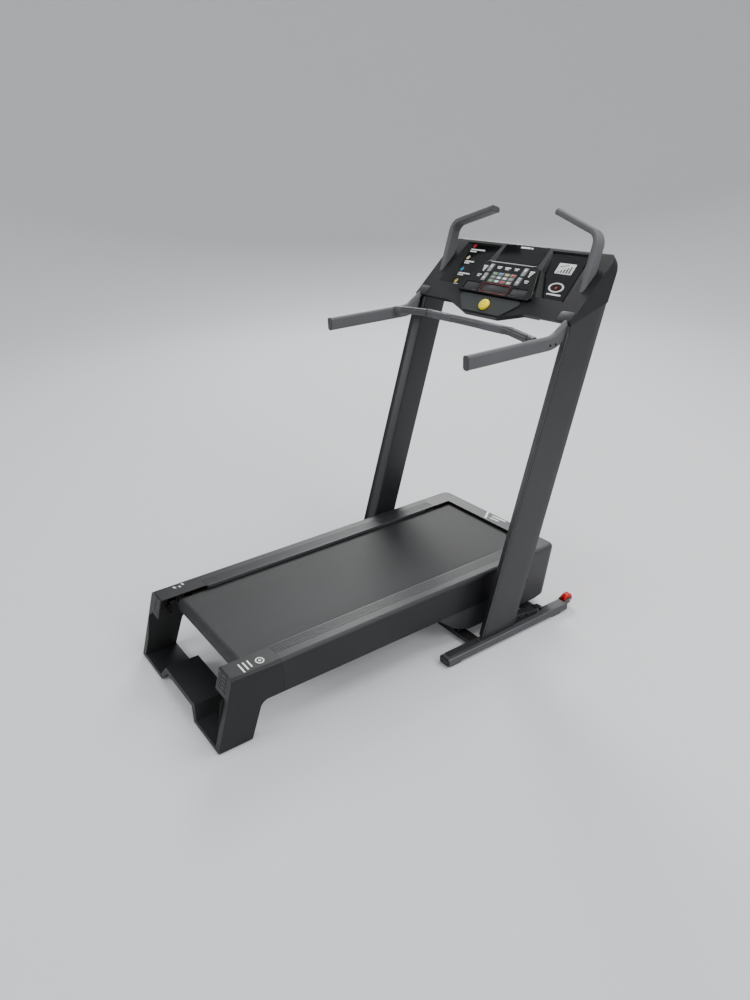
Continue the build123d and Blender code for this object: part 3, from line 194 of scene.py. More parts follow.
def castIron():
    # grey iron, cast and skimmed: dark, dull and slightly pitted
    material, tree, bsdf = newMaterial("greyIron_cast", "#5c5d60", 0.55, 1.0)
    emboss(tree, bsdf, noise(tree, 500.0, 4.0).outputs["Fac"], 0.4, 0.0003)
    return material


def phenolicBoard():
    # fibreboard with a waxed black phenolic face, pressed: faint brown fleck, low shine
    material, tree, bsdf = newMaterial("fibreboard_phenolicFaced", "#121010", 0.4, IOR=1.5)
    shadeBetween(tree, bsdf, noise(tree, 700.0, 5.0, 0.7), 0.35, "#0f0e0e", 0.65, "#1d1814")
    return material


# powderCoat: colour, lighter tone, roughness; mouldedAbs: those and the grain's size and depth
finish = {
    # base rails: charcoal powder coat, set lighter to paint the sheen on their chamfered edges
    "frame": powderCoat("steel_powderCoatedCharcoal_paintedSheen", "#3c3d3f", "#434446", 0.36),
    "upright": powderCoat("steel_powderCoatedDarkGrey", "#1d1e20", "#222325", 0.42),
    "blackSteel": powderCoat("steel_powderCoatedBlack", "#0c0c0d", "#111112", 0.45),
    "cover": mouldedAbs("abs_mouldedCharcoal", "#121314", "#17181a", 0.48, 0.0012, 0.00015),
    "hood": mouldedAbs("abs_mouldedDarkGrey", "#303133", "#363739", 0.44, 0.0012, 0.00015),
    "rail": mouldedAbs("abs_mouldedRibbed", "#17181a", "#1c1d1f", 0.46, 0.0010, 0.00015),
    # pale grey: painted highlight on the uprights' rear edges, painted light on the foot rails' inner walls,
    # and the rear caps' ribs
    "lip": mouldedAbs("abs_mouldedPaleGrey_paintedHighlight", "#38393b", "#3e3f41", 0.42, 0.0010, 0.0001),
    "console": mouldedAbs("abs_mouldedSatin", "#0a0b0c", "#0e0f10", 0.46, 0.0010, 0.0001),
    "pod": mouldedAbs("abs_mouldedGrey", "#2f3332", "#353938", 0.45, 0.0010, 0.0001),
    "shoulder": mouldedAbs("abs_mouldedShoulderGrey", "#242626", "#2a2c2c", 0.45, 0.0010, 0.0001),
    "cap": mouldedAbs("nylon_mouldedBlack", "#0d0d0e", "#121213", 0.45, 0.0012, 0.0001),
    "gripCap": mouldedAbs("nylon_mouldedGrey", "#343537", "#3a3b3d", 0.42, 0.0012, 0.0001),
    "gloss": glossPlastic("acrylic_polishedBlack", "#08080a", 0.1),
    # handrails and pulse bar: charcoal grip, set lighter to paint the light along the handrails' tops
    "grip": gripRubber("tpr_grainedCharcoal_paintedLight", "#444547", "#4a4b4d"),
    "push": gripRubber("tpr_grainedGrey", "#4c4d4f", "#525355"),
    "belt": wovenBelt(),
    # black rubber; it also paints the shade in the foot rails' grooves and inside the rear legs
    "rubberAndShade": gripRubber("epdm_mouldedBlack_andPaintedShade", "#0b0b0c", "#101011"),
    "steel": turnedSteel("steel_turnedBright", "#b4b6b9", 0.32),
    "darkSteel": turnedSteel("steel_blackenedRod", "#6a6c70", 0.38),
    "blackBolt": turnedSteel("steel_blackOxide", "#1d1d1f", 0.42),
    "iron": castIron(),
    "board": phenolicBoard(),
    "red": glossPlastic("polyurethane_castRed", "#c01212", 0.22),
    "yellow": mouldedAbs("abs_mouldedYellow", "#ffe400", "#ffea1c", 0.38, 0.0012, 0.00008),
    "key": mouldedAbs("abs_mouldedKeyGrey", "#4a4b4d", "#525355", 0.4, 0.0010, 0.00008),
    "circuit": glossPlastic("epoxyGlass_solderMasked", "#0d4a24", 0.3),
    "white": printedInk("ink_screenPrintedWhite", "#e6e7e4"),
    "redInk": printedInk("ink_screenPrintedRed", "#c2242c"),
    "blueInk": printedInk("ink_screenPrintedBlue", "#2f8fb8"),
    "greenInk": printedInk("ink_screenPrintedGreen", "#5fae6c"),
    "yellowInk": printedInk("ink_screenPrintedYellow", "#d8c25a"),
    "creamInk": printedInk("ink_screenPrintedCream", "#dcd2a8"),
    # the grey ink also paints the highlight along the key module's top edge
    "greyInk": printedInk("ink_screenPrintedGrey_andPaintedHighlight", "#8a8d8c"),
    "greyPad": printedInk("polyester_embossedGrey", "#5f6361"),
    "darkRed": printedInk("ink_screenPrintedDarkRed", "#7c1f2a"),
    "darkYellow": printedInk("ink_screenPrintedOchre", "#a8880a"),
}
print("materials made")

nodeFinish = {
    "frame": "base_rail_left base_rail_right",
    "upright": "upright_left upright_right",
    "blackSteel": "base_rear_tube base_front_tube console_beam lift_frame deck_beam_left deck_beam_right "
                  "deck_crossmembers drive_motor incline_motor",
    "cover": "upright_foot_left upright_foot_right rear_stand rear_cap_left rear_cap_right",
    "hood": "motor_hood belly_pan",
    "rail": "foot_rail_left foot_rail_right",
    "console": "console_fascia console_back",
    "pod": "key_pod",
    "cap": "rail_end_caps power_inlet",
    "gripCap": "grip_end_caps",
    "gloss": "display_glass side_panels key_panel power_switch",
    "grip": "handrail_left handrail_right pulse_bar",
    "push": "push_bar_left push_bar_right",
    "belt": "walking_belt",
    "rubberAndShade": "base_pads rear_pads deck_cushions drive_belt",
    "steel": "base_bolts front_roller rear_roller motor_controller",
    "darkSteel": "incline_screw pulse_plates",
    "blackBolt": "roller_bolts",
    "iron": "motor_flywheel",
    "board": "running_deck",
    "red": "transport_wheel_left transport_wheel_right",
    "yellow": "safety_key",
    "key": "key_incline_up key_incline_down key_speed_up key_speed_down",
    "circuit": "console_board",
}
for finishName, names in nodeFinish.items():
    for nodeName in names.split():
        part = nodes[nodeName]
        part.data.materials.clear()
        part.data.materials.append(finish[finishName])
print("frame finished")

slope = math.radians(41.8)  # console face above the horizontal
pocketSlope = slope + math.atan2(0.022, 0.226)  # the side panels sink towards the user


def surface(origin, look):
    return {"origin": Vector(origin), "look": look}


def at(place, across, along, out=0.0):
    return place["origin"] + place["look"] @ Vector((across, along, out))


ground = surface((0, 0, 0), Matrix.Identity(3))
consoleFace = surface((0, 0.696, 1.368), Matrix.Rotation(slope, 3, "X"))
moduleTop = surface(at(consoleFace, 0, 0, 0.014), consoleFace["look"])
podTop = surface(at(consoleFace, 0, 0, 0.004), consoleFace["look"])
keyTop = surface(at(consoleFace, 0, 0, 0.017), consoleFace["look"])
glassTop = surface(at(consoleFace, 0, 0, 0.001), consoleFace["look"])
pocketPanel = surface(at(consoleFace, 0, 0.092, -0.032), Matrix.Rotation(pocketSlope, 3, "X"))
rightSide = Matrix(((0, 0, 1), (1, 0, 0), (0, 1, 0)))  # across is +Y, along is up, out is +X
rearSide = Matrix(((1, 0, 0), (0, 0, -1), (0, 1, 0)))  # across is +X, along is up, out is -Y


def clearHands():
    # object mode, nothing selected
    active = bpy.context.view_layer.objects.active
    if active and active.mode != "OBJECT":
        bpy.ops.object.mode_set(mode="OBJECT")
    bpy.ops.object.select_all(action="DESELECT")


def dropSelection(mesh):
    for group in (mesh.vertices, mesh.edges, mesh.polygons):
        group.foreach_set("select", [False] * len(group))


def pick(kind, test):
    # opens the active piece in edit mode, with only what passes the test selected
    piece = bpy.context.object
    if piece.mode == "EDIT":
        bpy.ops.object.mode_set(mode="OBJECT")
    mesh = piece.data
    dropSelection(mesh)
    if kind == "FACE":
        for face in mesh.polygons:
            face.select = test(face.center, face.normal)
    elif kind == "EDGE":
        for edge in mesh.edges:
            ends = [mesh.vertices[i].co for i in edge.vertices]
            edge.select = test((ends[0] + ends[1]) / 2, (ends[1] - ends[0]).normalized())
    else:
        for vertex in mesh.vertices:
            vertex.select = test(vertex.co)
    bpy.context.tool_settings.mesh_select_mode = (kind == "VERT", kind == "EDGE", kind == "FACE")
    bpy.ops.object.mode_set(mode="EDIT")


def push(value):
    bpy.ops.mesh.extrude_region_move(TRANSFORM_OT_translate={"value": value})


def block(size, centre):
    # a box with its size and place in its mesh, ready to be shaped
    clearHands()
    bpy.ops.mesh.primitive_cube_add(size=1, location=centre, scale=size)
    bpy.ops.object.transform_apply(location=True, rotation=False, scale=True)


def disc(radius, height, sides=48):
    # a disc that stands on the origin, ready to be shaped
    clearHands()
    bpy.ops.mesh.primitive_cylinder_add(vertices=sides, radius=radius, depth=height,
                                        location=(0, 0, height / 2))
    bpy.ops.object.transform_apply(location=True, rotation=False, scale=False)


def openMiddle(band):
    # insets the top and the underside by the band and joins the two, which lets the middle through
    pick("FACE", lambda centre, normal: abs(normal.z) > 0.9)
    bpy.ops.mesh.inset(thickness=band)
    bpy.ops.mesh.bridge_edge_loops()


def pad(width, length, height, corner, rim):
    # a flat pad at the origin: upright corners rounded, upper rim softened
    block((width, length, height), (0, 0, height / 2))
    pick("EDGE", lambda centre, along: abs(along.z) > 0.9)
    bpy.ops.mesh.bevel(offset=corner, segments=4, affect="EDGES")
    pick("EDGE", lambda centre, along: centre.z > height * 0.99)
    bpy.ops.mesh.bevel(offset=rim, segments=2, affect="EDGES")


def puck(radius, height, rim, sides=48, steps=2):
    # a low disc at the origin with a softened upper rim
    disc(radius, height, sides)
    pick("EDGE", lambda centre, along: centre.z > height * 0.99)
    bpy.ops.mesh.bevel(offset=rim, segments=steps, affect="EDGES")


def hoop(radius, band, height, stretch=1.0):
    # a flat ring, pressed to an oval where the stretch isn't 1
    disc(radius, height)
    openMiddle(band)
    bpy.ops.object.mode_set(mode="OBJECT")
    bpy.context.object.scale = (1.0, stretch, 1.0)
    bpy.ops.object.transform_apply(location=False, rotation=False, scale=True)


def border(width, length, band, height, corner):
    # a raised line round a rectangle with rounded corners
    block((width, length, height), (0, 0, height / 2))
    pick("EDGE", lambda centre, along: abs(along.z) > 0.9)
    bpy.ops.mesh.bevel(offset=corner, segments=5, affect="EDGES")
    openMiddle(band)


def stand(place, across, along, out=0.0, turn=0.0, smooth=40):
    # puts the shaped piece on a surface and fixes its place in the mesh
    piece = bpy.context.object
    if piece.mode == "EDIT":
        bpy.ops.object.mode_set(mode="OBJECT")
    piece.location = at(place, across, along, out)
    piece.rotation_euler = (place["look"] @ Matrix.Rotation(turn, 3, "Z")).to_euler()
    bpy.ops.object.transform_apply(location=True, rotation=True, scale=True)
    bpy.ops.object.shade_smooth_by_angle(angle=math.radians(smooth))
    return piece


def twin(piece, shift=(0, 0, 0), mirror=False):
    # a copy with its own mesh, moved or mirrored to the other side
    copy = piece.copy()
    copy.data = piece.data.copy()
    copy.data.transform(Matrix.Translation(shift))
    if mirror:
        copy.data.transform(Matrix.Scale(-1, 4, (1, 0, 0)))
        copy.data.flip_normals()
    bpy.context.scene.collection.objects.link(copy)
    return copy


def unite(pieces):
    # joins pieces into the first one
    clearHands()
    for piece in pieces:
        piece.select_set(True)
    bpy.context.view_layer.objects.active = pieces[0]
    if len(pieces) > 1:
        bpy.ops.object.join()
    return pieces[0]


def dress(pieces, name, finishName, body, *replaced):
    # joins the parts of one piece, gives it its finish and says what it rides on
    piece = unite(pieces)
    piece.name = name
    piece.data.materials.clear()
    piece.data.materials.append(finish[finishName])
    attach(piece, body)
    if replaced:
        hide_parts(*replaced)


def dressPair(right, name, finishName, body, *replaced):
    # dresses a right-hand piece and its mirror image; {side} in a body or a node is right or left
    left = twin(right, mirror=True)
    for piece, side in ((right, "right"), (left, "left")):
        stoodFor = [node.format(side=side) for node in replaced]
        dress([piece], name + side.capitalize(), finishName, body.format(side=side), *stoodFor)


ink = {"height": 0.0003, "rim": 0.0001}
keyGrid = {"columns": (-0.057, -0.019, 0.019, 0.057), "rows": (0.155, 0.135, 0.115), "size": (0.034, 0.017),
           "padHeight": 0.0009, "padCorner": 0.003, "padRim": 0.0003, "mark": (0.021, 0.009),
           "markCorner": 0.004,
           "colours": ("greenInk blueInk yellowInk redInk", "greyInk white white greyInk",
                       "greenInk white redInk creamInk")}


def makeKeyGrid():
    places = [(column, row) for row in keyGrid["rows"] for column in keyGrid["columns"]]
    pad(*keyGrid["size"], keyGrid["padHeight"], keyGrid["padCorner"], keyGrid["padRim"])
    first = stand(moduleTop, *places[0])
    start = at(moduleTop, *places[0])
    pads = [first] + [twin(first, at(moduleTop, *place) - start) for place in places[1:]]
    dress(pads, "gridPads", "greyPad", "base")
    # a coloured lozenge on each pad
    for row, rowColours in enumerate(keyGrid["colours"]):
        for column, colour in enumerate(rowColours.split()):
            pad(*keyGrid["mark"], ink["height"], keyGrid["markCorner"], ink["rim"])
            mark = stand(moduleTop, keyGrid["columns"][column], keyGrid["rows"][row], keyGrid["padHeight"])
            dress([mark], f"gridMark_{row}_{column}", colour, "base")


def makeBars(name, colour, place, bars, body="base"):
    # short printed bars, and the painted highlight along the module's edge: across, along, length, width and,
    # where it isn't level, turn
    made = []
    for across, along, length, width, *turn in bars:
        pad(length, width, ink["height"], width * 0.35, ink["rim"])
        made.append(stand(place, across, along, 0, *turn))
    dress(made, name, colour, body)


makeKeyGrid()
makeBars("gridIcons", "white", moduleTop, [
    (-0.058, 0.194, 0.030, 0.005), (-0.058, 0.186, 0.022, 0.004), (-0.006, 0.193, 0.036, 0.006),
    (-0.006, 0.184, 0.026, 0.004), (0.050, 0.194, 0.028, 0.005), (0.050, 0.186, 0.020, 0.004)])
# level signs beside the long keys: bars that grow towards the top
makeBars("levelSigns", "white", moduleTop, [
    (side * (0.144 + 0.001 * step), 0.164 + 0.0085 * step, 0.010 + 0.006 * step, 0.0055)
    for side in (-1, 1) for step in range(4)])
makeBars("levelNotes", "white", moduleTop, [
    (side * across, along, length, 0.0045)
    for side in (-1, 1) for across, along, length in ((0.150, 0.140, 0.026), (0.152, 0.131, 0.018))])
# grey bar along the key module's top edge: a painted highlight on its rounded edge
makeBars("moduleEdgeHighlight", "greyInk", moduleTop, [(0, 0.2175, 0.262, 0.0045)])

longKeys = {"incline_up": (-0.107, 0.181), "incline_down": (-0.107, 0.130), "speed_up": (0.107, 0.181),
            "speed_down": (0.107, 0.130)}
keyStrip = {"width": 0.019, "length": 0.041, "height": 0.0005, "upShift": 0.008, "downShift": -0.006}
stripTop = surface(at(keyTop, 0, 0, keyStrip["height"]), keyTop["look"])
for keyBody, (across, along) in longKeys.items():
    pad(keyStrip["width"], keyStrip["length"], keyStrip["height"], 0.003, 0.0002)
    dress([stand(keyTop, across, along)], keyBody + "_strip", "greyInk", keyBody)
    shift = keyStrip["upShift"] if "up" in keyBody else keyStrip["downShift"]
    makeBars(keyBody + "_bar", "white", stripTop, [(across, along + shift, 0.016, 0.006)], keyBody)

# outline of the middle tray below the keys, and mats in all three trays
tray = {"centre": (0.0, 0.076), "size": (0.170, 0.050), "band": 0.0022, "height": 0.0007, "corner": 0.006,
        "sideCentre": 0.148, "mat": 0.158, "sideMat": 0.090, "matLength": 0.038, "matHeight": 0.0012,
        "sunk": 0.003}
border(*tray["size"], tray["band"], tray["height"], tray["corner"])
dress([stand(moduleTop, *tray["centre"])], "trayOutline", "darkRed", "base")
trayMats = []
for across, width in ((0.0, tray["mat"]), (-tray["sideCentre"], tray["sideMat"]),
                      (tray["sideCentre"], tray["sideMat"])):
    pad(width, tray["matLength"], tray["matHeight"], 0.004, 0.0005)
    trayMats.append(stand(moduleTop, across, tray["centre"][1], -tray["sunk"]))
dress(trayMats, "trayMats", "rubberAndShade", "base")

# side panels: coloured dots with lines on the left, a chart and a ring on the right
dots = {"redInk": (-0.342, 0.216), "creamInk": (-0.339, 0.150), "blueInk": (-0.334, 0.086),
        "yellowInk": (-0.326, 0.021)}
panelInk = 0.0004  # a thicker print than the keys'
chart = {"card": (0.274, 0.158), "size": (0.094, 0.052), "columns": 5, "first": (0.244, 0.140),
         "pitch": 0.015, "growth": 0.007}
panelRing = {"centre": (0.284, 0.066), "radius": 0.042, "band": 0.010, "squash": 0.56, "dot": (0.284, 0.064)}
panelTop = surface(at(pocketPanel, 0, 0, 0.002), pocketPanel["look"])
for colour, (across, along) in dots.items():
    puck(0.0085, panelInk, ink["rim"])
    dot = stand(panelTop, across, along)
    pad(0.009, 0.014, panelInk, 0.004, ink["rim"])
    leaf = stand(panelTop, across + 0.005, along + 0.006, 0, 0.6)
    dress([dot, leaf], "panelDot_" + colour, colour, "base")
makeBars("panelLines", "white", panelTop, [
    (-0.304, 0.198, 0.096, 0.0065), (-0.330, 0.187, 0.044, 0.0065), (-0.315, 0.132, 0.064, 0.0065),
    (-0.328, 0.122, 0.036, 0.0055), (-0.302, 0.066, 0.078, 0.0065), (-0.322, 0.056, 0.040, 0.0055),
    (-0.318, 0.006, 0.030, 0.0055)])
pad(*chart["size"], panelInk, 0.004, ink["rim"])
dress([stand(panelTop, *chart["card"])], "chartCard", "white", "base")
chartTop = surface(at(panelTop, 0, 0, panelInk), panelTop["look"])
makeBars("chartColumns", "cap", chartTop, [
    (chart["first"][0] + chart["pitch"] * step, chart["first"][1] + chart["growth"] / 2 * step,
     0.006 + chart["growth"] * step, 0.007, math.pi / 2) for step in range(chart["columns"])])
makeBars("chartLine", "cap", chartTop, [(0.262, 0.171, 0.046, 0.0035, 0.22)])
hoop(panelRing["radius"], panelRing["band"], panelInk, panelRing["squash"])
dress([stand(panelTop, *panelRing["centre"])], "panelRing", "white", "base")
puck(0.006, panelInk, ink["rim"])
dress([stand(panelTop, *panelRing["dot"])], "ringDot", "redInk", "base")
makeBars("ringLine", "white", panelTop, [(0.292, 0.032, 0.080, 0.0075)])
makeBars("displayBar", "white", glassTop, [(-0.004, 0.321, 0.060, 0.0085), (0.036, 0.321, 0.012, 0.0085)])
print("console prints made")

# corner plates where the console's lower edge meets the uprights
shoulder = {"across": 0.457, "along": 0.014, "width": 0.074, "length": 0.050, "height": 0.0022}
pad(shoulder["width"], shoulder["length"], shoulder["height"], 0.016, 0.0012)
dressPair(stand(consoleFace, shoulder["across"], shoulder["along"]), "shoulder", "shoulder", "base")

pullKey = {"centre": (0.0, -0.008), "radius": 0.027, "height": 0.016, "dome": 0.013, "dish": 0.0008,
           "bar": (0.026, 0.008, 0.004), "stem": 0.009, "stemLength": 0.013, "stemFoot": -0.008,
           "collar": (0.0315, 0.004, 0.0009), "mark": (0.0118, 0.0012, 0.0003)}


def makePullKey():
    # round pull key: domed cap with a flat top and a finger bar, on its stem, in a dark collar
    across, along = pullKey["centre"]
    puck(pullKey["radius"], pullKey["height"], pullKey["dome"], 64, 8)
    pick("FACE", lambda centre, normal: normal.z > 0.999)
    bpy.ops.mesh.inset(thickness=0.0015)
    push((0, 0, -pullKey["dish"]))
    cap = stand(podTop, across, along, 0.0004)
    pad(*pullKey["bar"], 0.0038, 0.0014)
    bar = stand(podTop, across, along, pullKey["height"] - 0.0006, math.pi / 2)
    puck(pullKey["stem"], pullKey["stemLength"], 0.0008, 32)
    stem = stand(consoleFace, across, along, pullKey["stemFoot"])
    dress([cap, bar, stem], "pullKey", "yellow", "safety_key", "safety_key")
    hoop(*pullKey["collar"])
    dress([stand(podTop, across, along)], "pullKeyRing", "cap", "base")
    hoop(*pullKey["mark"])
    darkMark = stand(podTop, across, along, pullKey["height"] - 0.0004)
    dress([darkMark], "pullKeyMark", "darkYellow", "safety_key")


makePullKey()

wheel = {"radius": 0.027, "width": 0.030, "shoulder": 0.006, "groove": 0.004, "grooveHalf": 0.0012,
         "grooveScale": 0.95, "rim": 0.003, "dishScale": 0.82, "spoke": 0.0065, "hubScale": 1.2,
         "hubWall": 0.0039}


def makeWheel():
    # transport wheel: cast tyre with two tread grooves, dished sides, and a bore through its hub
    low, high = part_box("transport_wheel_right")
    middle = (Vector(low) + Vector(high)) / 2
    clearHands()
    bpy.ops.mesh.primitive_cylinder_add(vertices=64, radius=wheel["radius"], depth=wheel["width"])
    pick("EDGE", lambda centre, along: abs(along.z) < 0.5)
    bpy.ops.mesh.bevel(offset=wheel["shoulder"], segments=5, affect="EDGES")
    # tread: bands of the tyre pressed in
    for groove in (-wheel["groove"], wheel["groove"]):
        for edge in (-wheel["grooveHalf"], wheel["grooveHalf"]):
            pick("FACE", lambda centre, normal: True)
            bpy.ops.mesh.bisect(plane_co=(0, 0, groove + edge), plane_no=(0, 0, 1))
    pick("FACE", lambda centre, normal: abs(abs(centre.z) - wheel["groove"]) < 0.001 and abs(normal.z) < 0.2)
    bpy.ops.mesh.inset(thickness=0.0002)
    bpy.ops.transform.resize(value=(wheel["grooveScale"], wheel["grooveScale"], 1.0))
    # both sides: rim, dish and hub, then the bore through the hub
    pick("FACE", lambda centre, normal: abs(normal.z) > 0.95 and centre.xy.length < 0.003)
    bpy.ops.mesh.inset(thickness=wheel["rim"])
    bpy.ops.mesh.inset(thickness=wheel["rim"] / 2)
    bpy.ops.transform.resize(value=(1.0, 1.0, wheel["dishScale"]))
    bpy.ops.mesh.inset(thickness=wheel["spoke"])
    bpy.ops.mesh.inset(thickness=0.001)
    bpy.ops.transform.resize(value=(1.0, 1.0, wheel["hubScale"]))
    bpy.ops.mesh.inset(thickness=wheel["hubWall"])
    bpy.ops.mesh.bridge_edge_loops()
    right = stand(surface(middle, rightSide), 0, 0)
    dressPair(right, "wheel", "red", "wheel_{side}", "transport_wheel_{side}")


makeWheel()
print("keys and wheels made")

uprightShape = {"inner": 0.447, "outer": 0.497, "rear": 0.2500, "depth": 0.195, "edge": 0.004, "flute": 0.007,
                "fluteFront": 0.031, "flatFront": 0.157, "seam": (0.0080, 0.0115), "seamDepth": 0.0035,
                "lean": math.radians(18.4), "foot": 0.040, "blank": 1.5, "outerRound": 0.0018,
                "innerRound": 0.006, "under": (0, 0.69564, 1.3489), "underRise": 0.2952}


def makeUprights():
    # rolled steel section: flat outside, a hollow flute on the inner rear edge, the inner front edge
    # cut back
    shape = uprightShape
    low, high = shape["inner"], shape["outer"]
    depth = shape["depth"]
    block((high - low, depth, shape["blank"]), ((low + high) / 2, depth / 2, shape["blank"] / 2))
    for cut in (shape["fluteFront"] / 2, shape["fluteFront"], shape["flatFront"]) + shape["seam"]:
        pick("FACE", lambda centre, normal: True)
        bpy.ops.mesh.bisect(plane_co=(0, cut, 0), plane_no=(0, 1, 0))
    # both inner corners go out to the edge strip, and the flute's middle is drawn in behind its chord
    innerCorner = high - low - shape["edge"]
    pick("VERT", lambda point: point.x < low + 0.001 and (point.y < 0.001 or point.y > depth - 0.001))
    bpy.ops.transform.translate(value=(innerCorner, 0, 0))
    for cut in shape["seam"]:
        share = 1 - cut / shape["fluteFront"]
        hollow = 1.3 * shape["flute"] * math.sin(math.pi * cut / shape["fluteFront"])
        pick("VERT", lambda point: point.x < low + 0.001 and abs(point.y - cut) < 0.0005)
        bpy.ops.transform.translate(value=(innerCorner * share + hollow, 0, 0))
    pick("VERT", lambda point: point.x < low + 0.001 and abs(point.y - shape["fluteFront"] / 2) < 0.0005)
    bpy.ops.transform.translate(value=(innerCorner / 2 + shape["flute"], 0, 0))
    # shadow seam down the outer face
    pick("FACE", lambda centre, normal: normal.x > 0.9 and shape["seam"][0] < centre.y < shape["seam"][1])
    push((-shape["seamDepth"], 0, 0))
    # rounded long edges
    pick("EDGE", lambda centre, along: abs(along.z) > 0.9 and centre.x > high - 0.0005
         and (centre.y < 0.001 or centre.y > depth - 0.001))
    bpy.ops.mesh.bevel(offset=shape["outerRound"], segments=3, affect="EDGES")
    pick("EDGE", lambda centre, along: abs(along.z) > 0.9 and centre.x < low + 0.0005)
    bpy.ops.mesh.bevel(offset=shape["innerRound"], segments=4, affect="EDGES")
    bpy.ops.object.mode_set(mode="OBJECT")
    # leant over, set on the base rail and cut along the console's underside
    leaning = Matrix.Identity(4)
    leaning[1][2] = math.tan(shape["lean"])
    upright = bpy.context.object
    upright.data.transform(Matrix.Translation((0, shape["rear"], shape["foot"])) @ leaning)
    pick("FACE", lambda centre, normal: True)
    bpy.ops.mesh.bisect(plane_co=shape["under"], plane_no=(0, -shape["underRise"], 1), clear_outer=True,
                        use_fill=True)
    bpy.ops.mesh.select_all(action="SELECT")
    bpy.ops.mesh.normals_make_consistent(inside=False)
    bpy.ops.object.mode_set(mode="OBJECT")
    bpy.ops.object.shade_smooth_by_angle(angle=math.radians(32))
    dressPair(upright, "upright", "upright", "base", "upright_{side}")


makeUprights()

highlightStrip = {"width": 0.0062, "height": 0.0012, "corner": 0.0028, "rim": 0.0008, "inset": 0.0046,
             "low": 0.055, "high": 1.325, "sunk": 0.0002}


def makeHighlightStrips():
    # pale strip down the rear edge of each upright, beside the seam: a painted highlight on the rounded rear
    # edge
    lean = uprightShape["lean"]
    middle = (highlightStrip["low"] + highlightStrip["high"]) / 2
    pad(highlightStrip["width"], (highlightStrip["high"] - highlightStrip["low"]) / math.cos(lean), highlightStrip["height"],
        highlightStrip["corner"], highlightStrip["rim"])
    rear = uprightShape["rear"] + highlightStrip["inset"] + math.tan(lean) * (middle - uprightShape["foot"])
    strip = stand(surface((uprightShape["outer"], 0, 0), rightSide), rear, middle, -highlightStrip["sunk"], -lean)
    dressPair(strip, "uprightStrip", "lip", "base")


makeHighlightStrips()

railTread = {"inner": 0.466, "outer": 0.500, "rear": 0.066, "front": 0.243, "height": 0.0016,
             "border": 0.0025, "ribs": 3, "ribPitch": 0.009, "ribWidth": 0.0022,
             "ribHeight": 0.0006, "ribEnd": 0.008}
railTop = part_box("base_front_tube")[1][2] + 0.003


def makeRailTreads():
    # rubber tread on the rear of each base rail, with a raised border and ribs
    width = railTread["outer"] - railTread["inner"]
    length = railTread["front"] - railTread["rear"]
    across = (railTread["inner"] + railTread["outer"]) / 2
    along = (railTread["rear"] + railTread["front"]) / 2
    pad(width, length, railTread["height"], 0.004, 0.0006)
    pick("FACE", lambda centre, normal: normal.z > 0.95)
    bpy.ops.mesh.inset(thickness=railTread["border"])
    push((0, 0, -0.0004))
    parts = [stand(ground, across, along, railTop)]
    for step in range(railTread["ribs"]):
        pad(railTread["ribWidth"], length - 2 * railTread["ribEnd"], railTread["ribHeight"], 0.0008, 0.0002)
        shift = railTread["ribPitch"] * (step - (railTread["ribs"] - 1) / 2)
        parts.append(stand(ground, across + shift, along, railTop + railTread["height"] - 0.0005))
    dressPair(unite(parts), "railTread", "rubberAndShade", "base")


lockClip = {"plate": (0.040, 0.022, 0.006), "place": (0.452, 0.634),
            "bends": ((0.006, 0.0, 0.008), (0.010, 0.0, 0.004)), "tongue": 0.012, "round": 0.0012,
            "sunk": 0.003}


def makeLockClips():
    # bent steel catch over the joint of the front tube and the rail
    block(lockClip["plate"], (0, 0, lockClip["plate"][2] / 2))
    pick("FACE", lambda centre, normal: normal.x > 0.9)
    for bend in lockClip["bends"]:
        push(bend)
    pick("FACE", lambda centre, normal: normal.y > 0.9 and centre.x < 0.02)
    bpy.ops.mesh.inset(thickness=0.0012)
    push((0, lockClip["tongue"], 0))
    pick("EDGE", lambda centre, along: True)
    bpy.ops.mesh.bevel(offset=lockClip["round"], segments=2, affect="EDGES")
    dressPair(stand(ground, *lockClip["place"], railTop - lockClip["sunk"]), "lockClip", "cap", "base")


screw = {"radius": 0.0048, "height": 0.0022, "round": 0.0012, "wall": 0.0012, "socket": 0.0016,
         "handrail": ((0.594, 1.285), (0.624, 1.285)), "foot": ((0.486, 0.060), (0.530, 0.058))}


def makeScrews():
    # pan-head screws with a socket: handrail joints and foot covers
    puck(screw["radius"], screw["height"], screw["round"], 24)
    pick("FACE", lambda centre, normal: normal.z > 0.95)
    bpy.ops.mesh.inset(thickness=screw["wall"])
    push((0, 0, -screw["socket"]))
    first = stand(surface((0, 0, 0), rightSide), 0, 0)
    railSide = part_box("handrail_right")[1][0]
    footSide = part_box("upright_foot_right")[1][0]
    places = [(railSide, *place) for place in screw["handrail"]]
    places += [(footSide, *place) for place in screw["foot"]]
    screws = [twin(first, place) for place in places]
    screws += [twin(part, mirror=True) for part in screws]
    bpy.data.objects.remove(first)
    dress(screws, "sideScrews", "blackBolt", "base")


makeRailTreads()
makeLockClips()
makeScrews()

# each row: outwards and upwards from the bar's middle, height and width of the rib
pulseRibs = {"height": 1.307, "middle": 0.586, "bendStart": 0.2824, "bend": 0.070,
             "turn": math.radians(17.27), "run": 0.1605,
             "rows": ((0.013, 0.0085, 0.0055, 0.004), (0.013, 0, 0.0055, 0.004),
                      (0.013, -0.0085, 0.0055, 0.004), (0.0045, 0.016, 0.004, 0.0055),
                      (-0.0045, 0.016, 0.004, 0.0055), (-0.013, 0.004, 0.0055, 0.004),
                      (-0.013, -0.006, 0.0055, 0.004))}


